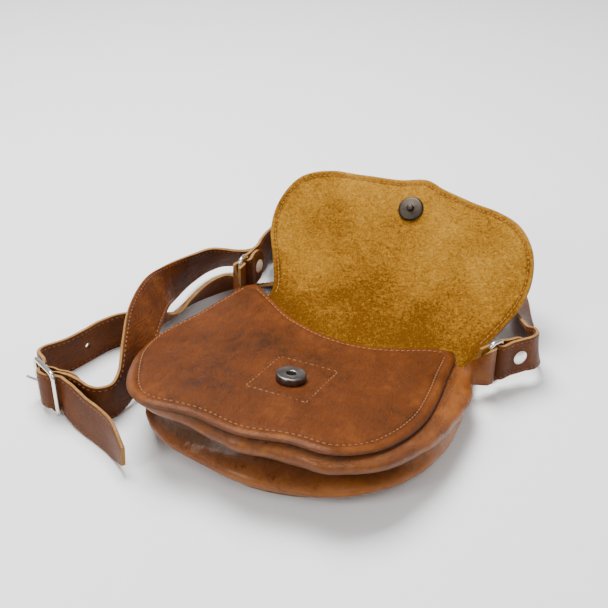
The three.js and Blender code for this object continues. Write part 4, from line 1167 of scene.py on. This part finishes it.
def pointed_end(distance):
    return STRAP_WIDTH / 2 * mix(0.5, 1, math.sin(math.pi / 2 * clamp01(distance / (0.8 * STRAP_WIDTH))))


# Places across a strap, from its lower edge to its upper edge, and how thick it is there
ACROSS = (-1.0, -0.985, -0.95, -0.9, -0.86, -0.82, -0.76, -0.6, -0.4, -0.2, 0.0,
          0.2, 0.4, 0.6, 0.76, 0.82, 0.86, 0.9, 0.95, 0.985, 1.0)
GROOVE_AT = 0.84


def strap_profile(share):
    rounding = 1 - 0.28 * ramp(0.955, 1.0, abs(share))
    groove = 0.16 * dip(abs(share) - GROOVE_AT, 0.022)
    crown = 0.05 * (1 - share * share)
    return rounding - groove + crown


def strap_piece(name, stations, start_end, finish_end, thickness_at, wear_seed):
    """A strap along its stations; gives the piece and the four lines that its stitches follow."""
    middles_in = [s[0] for s in stations]
    leans_in = [s[1] for s in stations]
    spans = len(stations) - 1
    shares = []
    for i in range(spans):
        length = (middles_in[i] - middles_in[i + 1]).length
        pieces = max(2, round(length / 1.6))
        shares += [(i + j / pieces) / spans for j in range(pieces)]
    shares.append(1.0)
    middles = [curve_point(middles_in, s) for s in shares]
    lengths = [0.0]
    for a, b in zip(middles, middles[1:]):
        lengths.append(lengths[-1] + (b - a).length)
    total = lengths[-1]
    front, back, wear, line = [], [], [], []
    for i, middle in enumerate(middles):
        along = (middles[min(len(middles) - 1, i + 1)] - middles[max(0, i - 1)]).normalized()
        across = curve_point(leans_in, shares[i])
        across = (across - along * across.dot(along)).normalized()
        normal = along.cross(across).normalized()
        half = min(start_end(lengths[i]), finish_end(total - lengths[i]))
        thick = thickness_at(total - lengths[i]) / 2
        low = min((middle + across * side * half + normal * face * thick).z
                  for side in (-1, 1) for face in (-1, 1))
        middle = middle + Vector((0, 0, max(0.0, FLOOR_GAP - low)))
        rows = []
        for face in (1, -1):
            rows.append([middle + across * share * half + normal * face * thick * strap_profile(share)
                         for share in ACROSS])
        front.append(rows[0])
        back.append(rows[1])
        line.append((middle, across, normal, half, thick))
        # Random tone along the strap, paler on the rim beyond the creased line, and painted shade in the
        # creased line's groove.
        wear.append([0.2 * noise.noise(Vector((lengths[i] / 18, share * 1.2, wear_seed)))
                     + 0.3 * dip(abs(share) - 0.93, 0.05) - 0.4 * dip(abs(share) - GROOVE_AT, 0.03)
                     for share in ACROSS])
    flat = [m for row in wear for m in row] * 2
    obj = grid_piece(name, front, back, {"wear": flat}, lambda side, i, j: TOP)
    seams = []
    for face in (1, -1):
        for side in (GROOVE_AT, -GROOVE_AT):
            seams.append([
                (middle + across * side * STRAP_WIDTH / 2 + normal * face * thick * strap_profile(side),
                 normal * face)
                for middle, across, normal, half, thick in line if half > STRAP_WIDTH * 0.48])
    return obj, seams


def cut_hole(obj, point, axis, radius, length):
    """Cuts a round hole through a strap."""
    bpy.ops.object.select_all(action="DESELECT")
    turn = Vector((0, 0, 1)).rotation_difference(axis.normalized()).to_euler()
    bpy.ops.mesh.primitive_cylinder_add(vertices=24, radius=radius * MM, depth=length * MM,
                                        location=point * MM, rotation=turn)
    tool = bpy.context.object
    pick(obj)
    mod = obj.modifiers.new("Hole", "BOOLEAN")
    mod.operation, mod.solver, mod.object = "DIFFERENCE", "EXACT", tool
    bpy.ops.object.modifier_apply(modifier=mod.name)
    bpy.data.objects.remove(tool, do_unlink=True)


class SLINGBAG_OT_straps(bpy.types.Operator):
    """The two straps with their raw edges, creased lines and holes"""

    bl_idname = "slingbag.straps"
    bl_label = "Straps"

    def execute(self, context):
        b = buckle_place()
        skins = [material("strap"), material("edge"), material("strap")]
        stations = [*LEFT_FOLD, *route_stations(LONG_ROUTE), *buckle_stations(), *route_stations(TAIL_ROUTE)]
        long_one, long_seams = strap_piece("strap_long_leather", stations, rounded_end, pointed_end,
                                            lambda left: STRAP_THICKNESS, 2.0)
        outward(long_one)
        spare = route_stations(LONG_ROUTE)[-6:]
        heading = spare[2][0] - spare[0][0]
        cut_hole(long_one, spare[1][0], heading.cross(Vector((0, 0, 1))), HOLE / 2 + 0.4, 8)
        finish_piece(long_one, skins, ["strap_long"], 50)

        radius = BUCKLE_BAR / 2 + GAP + BUCKLE_PLY / 2
        away = b["head"] * math.cos(FOLD_TILT) - b["front"] * math.sin(FOLD_TILT)
        aside = Vector((away.y, -away.x, 0))

        def at(along, forward):
            p = b["bar"] + away * along + aside * forward
            return station(p.x, p.y, BUCKLE_LIFT, Vector((0, 0, 1)))

        folded = [(1, radius * 0.91), (0.64, radius * 0.6), (0.36, radius * 0.48), (0.18, radius)]
        stations = [*RIGHT_FOLD, *route_stations(SHORT_ROUTE)]
        stations += [at(BILLET * share, side) for share, side in folded[1:]]
        turns = [math.pi * i / 4 for i in range(5)]
        stations += [at(-radius * math.sin(turn), radius * math.cos(turn)) for turn in turns]
        stations += [at(BILLET * share, -side) for share, side in reversed(folded)]

        def thinned(left):
            """The end round the buckle's bar is pared thinner."""
            return mix(BUCKLE_PLY, STRAP_THICKNESS, ramp(1.64 * BILLET, 2 * BILLET, left))

        short_one, short_seams = strap_piece("strap_short_leather", stations, rounded_end, rounded_end,
                                             thinned, 5.0)
        finish_piece(short_one, skins, ["strap_short"], 50)
        stitches("strap_long_stitches", long_seams, material("strap_thread"))
        stitches("strap_short_stitches", short_seams, material("strap_thread"))
        return {"FINISHED"}


# Metal: turned profiles as radius and height, from the axis at the top to the axis at the seat
RIVET_DOME = ((0, 1.45), (1.2, 1.4), (2.4, 1.2), (3.5, 0.85), (4.3, 0.45), (4.7, 0.15), (4.75, -0.15),
              (4.5, -0.3))
RIVET_SHANK = 1.8
SOCKET = ((0, 1.2), (2.6, 1.2), (2.72, 1.3), (2.75, 3.9), (2.9, 4.25), (3.3, 4.45), (3.7, 4.5),
          (4.0, 4.42), (4.2, 4.4), (7.6, 4.4), (7.9, 4.45), (8.2, 4.45), (8.6, 4.3), (8.88, 3.95),
          (9.0, 3.4), (9.0, 0.6), (8.85, 0.15), (8.4, 0.0), (0, 0.0))
STUD = ((0, 4.2), (1.3, 4.15), (1.9, 3.95), (2.3, 3.6), (2.5, 3.1), (2.5, 2.0), (2.65, 1.75),
        (3.0, 1.65), (6.8, 1.6), (7.4, 1.5), (8.0, 1.35), (8.5, 1.0), (8.9, 0.55), (9.0, 0.3),
        (8.7, 0.0), (0, 0.0))
RING_CORNER = 3
BUCKLE_CORNER = 3.5
PRONG_PAST = 5                 # how far the prong stands past the buckle's frame


class SLINGBAG_OT_rings(bpy.types.Operator):
    """Oblong wire rings in the tabs"""

    bl_idname = "slingbag.rings"
    bl_label = "Rings"

    def execute(self, context):
        height = STRAP_WIDTH + 2 * RING_CLEAR + RING_WIRE
        for name in RINGS:
            place = ring_place(name)
            path = round_rectangle(place["centre"], place["head"], Vector((0, 0, 1)), RING_SPAN, height,
                                   RING_CORNER)
            obj = wire_piece(f"ring_{name}_wire", path, RING_WIRE / 2)
            finish_piece(obj, [material("nickel")], [f"ring_{name}"], 60)
        return {"FINISHED"}


class SLINGBAG_OT_rivets(bpy.types.Operator):
    """Domed rivets through the folded ends of the straps"""

    bl_idname = "slingbag.rivets"
    bl_label = "Rivets"

    def execute(self, context):
        seat = STRAP_THICKNESS + 2 * GAP
        for name, (point, axis) in (("left", LEFT_RIVET), ("right", RIGHT_RIVET)):
            upper = [(r, seat + h) for r, h in RIVET_DOME]
            shank = [(RIVET_SHANK, seat - 0.3), (RIVET_SHANK, -seat + 0.3)]
            profile = [*upper, *shank, *((r, -h) for r, h in reversed(upper))]
            obj = turned_piece(f"rivet_{name}_caps", profile, point, axis, 32)
            finish_piece(obj, [material("rivet")], [f"rivet_{name}"], 35)
        return {"FINISHED"}


class SLINGBAG_OT_snap(bpy.types.Operator):
    """Magnetic snap: a socket on the front panel and a stud on the flap"""

    bl_idname = "slingbag.snap"
    bl_label = "Magnetic Snap"

    def execute(self, context):
        point, normal = front_surface(0, SNAP_Y)
        seat = LEATHER / 2 + GAP
        obj = turned_piece("snap_socket_shell", SOCKET, point + normal * seat, normal, 56)
        finish_piece(obj, [material("gunmetal")], ["snap_socket"], 35)

        point, normal = hide_surface(STUD_X, HINGE_Y + FLAP_REACH - STUD_INSET)
        obj = turned_piece("snap_stud_shell", STUD, point + normal * seat, normal, 56)
        finish_piece(obj, [material("bronze")], ["snap_stud"], 35)
        return {"FINISHED"}


class SLINGBAG_OT_buckle(bpy.types.Operator):
    """Centre-bar buckle with its prong"""

    bl_idname = "slingbag.buckle"
    bl_label = "Buckle"

    def execute(self, context):
        b = buckle_place()
        up = Vector((0, 0, 1))
        path = round_rectangle(b["centre"], b["head"], up, BUCKLE_LENGTH, b["height"], BUCKLE_CORNER)
        frame_piece = wire_piece("buckle_frame_wire", path, BUCKLE_WIRE / 2)
        finish_piece(frame_piece, [material("nickel")], ["buckle_frame"], 60)
        half = b["height"] / 2
        profile = [(0, half), (BUCKLE_BAR / 2 - 0.2, half), (BUCKLE_BAR / 2, half - 0.2),
                   (BUCKLE_BAR / 2, -half + 0.2), (BUCKLE_BAR / 2 - 0.2, -half), (0, -half)]
        bar = turned_piece("buckle_bar", profile, b["bar"], up, 20)
        finish_piece(bar, [material("nickel")], (), 35)

        height = FLOOR_GAP + BUCKLE_LIFT + STRAP_WIDTH / 2
        start = Vector((b["bar"].x, b["bar"].y, height))
        rest = b["centre"] - b["head"] * BUCKLE_LENGTH / 2
        rest = rest + b["front"] * (BUCKLE_WIRE / 2 + 2 * GAP + PRONG_WIRE / 2)
        rest.z = height
        along = (rest - start).normalized()
        radius = BUCKLE_BAR / 2 + GAP + PRONG_WIRE / 2
        first = math.atan2(along.dot(b["front"]), along.dot(b["head"]))
        points = []
        for i in range(9):
            angle = first + math.pi * (0.25 + 1.55 * i / 8)
            round_bar = b["head"] * math.cos(angle) + b["front"] * math.sin(angle)
            points.append(start + round_bar * radius)
        points += [start + along * (radius + 2.2), rest, rest + along * PRONG_PAST]
        dense = [curve_point(points, i / 60) for i in range(61)]
        prong = wire_piece("buckle_prong_wire", dense, PRONG_WIRE / 2, closed=False)
        finish_piece(prong, [material("nickel")], ["buckle_prong"], 60)
        return {"FINISHED"}


# Stage
TARGET = Vector((-28.5, 64, 39.5))
AZIMUTH, ELEVATION, DISTANCE = 26, 32, 650
FOCAL_SHARE = 1007.5 / 608     # focal length as a share of the picture's width
WORLD_LIGHT = 0.36
LAMPS = (                      # name, place, size and power
    ("key", (-0.4, 0.3, 1.25), 0.7, 40), ("fill", (0.8, -0.8, 1.2), 0.8, 9),
    ("side", (-0.5, -1.0, 0.75), 0.35, 7),
)
LAMP_AIM = Vector((0, 0.05, 0))


class SLINGBAG_OT_stage(bpy.types.Operator):
    """Pale floor, soft studio light and the camera"""

    bl_idname = "slingbag.stage"
    bl_label = "Stage"

    def execute(self, context):
        bpy.ops.object.select_all(action="DESELECT")
        bpy.ops.mesh.primitive_plane_add(size=8, location=(0, 0, 0))
        floor = context.object
        floor.name = "floor"
        floor.data.materials.append(material("floor"))
        world = bpy.data.worlds.new("Studio")
        context.scene.world = world
        world.use_nodes = True
        world.node_tree.nodes["Background"].inputs[0].default_value = (1.0, 1.0, 1.0, 1)
        world.node_tree.nodes["Background"].inputs[1].default_value = WORLD_LIGHT
        for name, place, size, power in LAMPS:
            light = bpy.data.lights.new(name, "AREA")
            light.size, light.energy = size, power
            lamp = bpy.data.objects.new(name, light)
            context.scene.collection.objects.link(lamp)
            lamp.location = place
            lamp.rotation_mode = "QUATERNION"
            lamp.rotation_quaternion = (LAMP_AIM - Vector(place)).to_track_quat("-Z", "Y")
        azimuth, elevation = math.radians(AZIMUTH), math.radians(ELEVATION)
        back = Vector((math.sin(azimuth) * math.cos(elevation), -math.cos(azimuth) * math.cos(elevation),
                       math.sin(elevation)))
        data = bpy.data.cameras.new("Camera")
        data.sensor_width = 36
        data.lens = 36 * FOCAL_SHARE
        camera = bpy.data.objects.new("Camera", data)
        context.scene.collection.objects.link(camera)
        camera.location = (TARGET + back * DISTANCE) * MM
        camera.rotation_mode = "QUATERNION"
        camera.rotation_quaternion = (-back).to_track_quat("-Z", "Y")
        data.clip_start, data.clip_end = 0.01, 50
        context.scene.camera = camera
        return {"FINISHED"}


class SLINGBAG_PT_panel(bpy.types.Panel):
    """The pieces of the sling bag"""

    bl_idname = "SLINGBAG_PT_panel"
    bl_label = "Sling Bag"
    bl_space_type = "VIEW_3D"
    bl_region_type = "UI"
    bl_category = "Sling Bag"

    def draw(self, context):
        for group in (context.scene.sling_bag, context.scene.sling_bag_metal):
            for key in group.__annotations__:
                self.layout.prop(group, key)
        for operator in OPERATORS:
            self.layout.operator(operator.bl_idname)


OPERATORS = (
    SLINGBAG_OT_front_panel, SLINGBAG_OT_gusset, SLINGBAG_OT_flap, SLINGBAG_OT_straps, SLINGBAG_OT_rings,
    SLINGBAG_OT_rivets, SLINGBAG_OT_snap, SLINGBAG_OT_buckle, SLINGBAG_OT_stage,
)
CLASSES = (BagSettings, MetalSettings, *OPERATORS, SLINGBAG_PT_panel)


def register():
    for cls in CLASSES:
        bpy.utils.register_class(cls)
    bpy.types.Scene.sling_bag = bpy.props.PointerProperty(type=BagSettings)
    bpy.types.Scene.sling_bag_metal = bpy.props.PointerProperty(type=MetalSettings)


def unregister():
    del bpy.types.Scene.sling_bag_metal
    del bpy.types.Scene.sling_bag
    for cls in reversed(CLASSES):
        bpy.utils.unregister_class(cls)


def main():
    register()
    for operator in OPERATORS:
        group, name = operator.bl_idname.split(".")
        getattr(getattr(bpy.ops, group), name)()


if __name__ == "__main__":
    main()
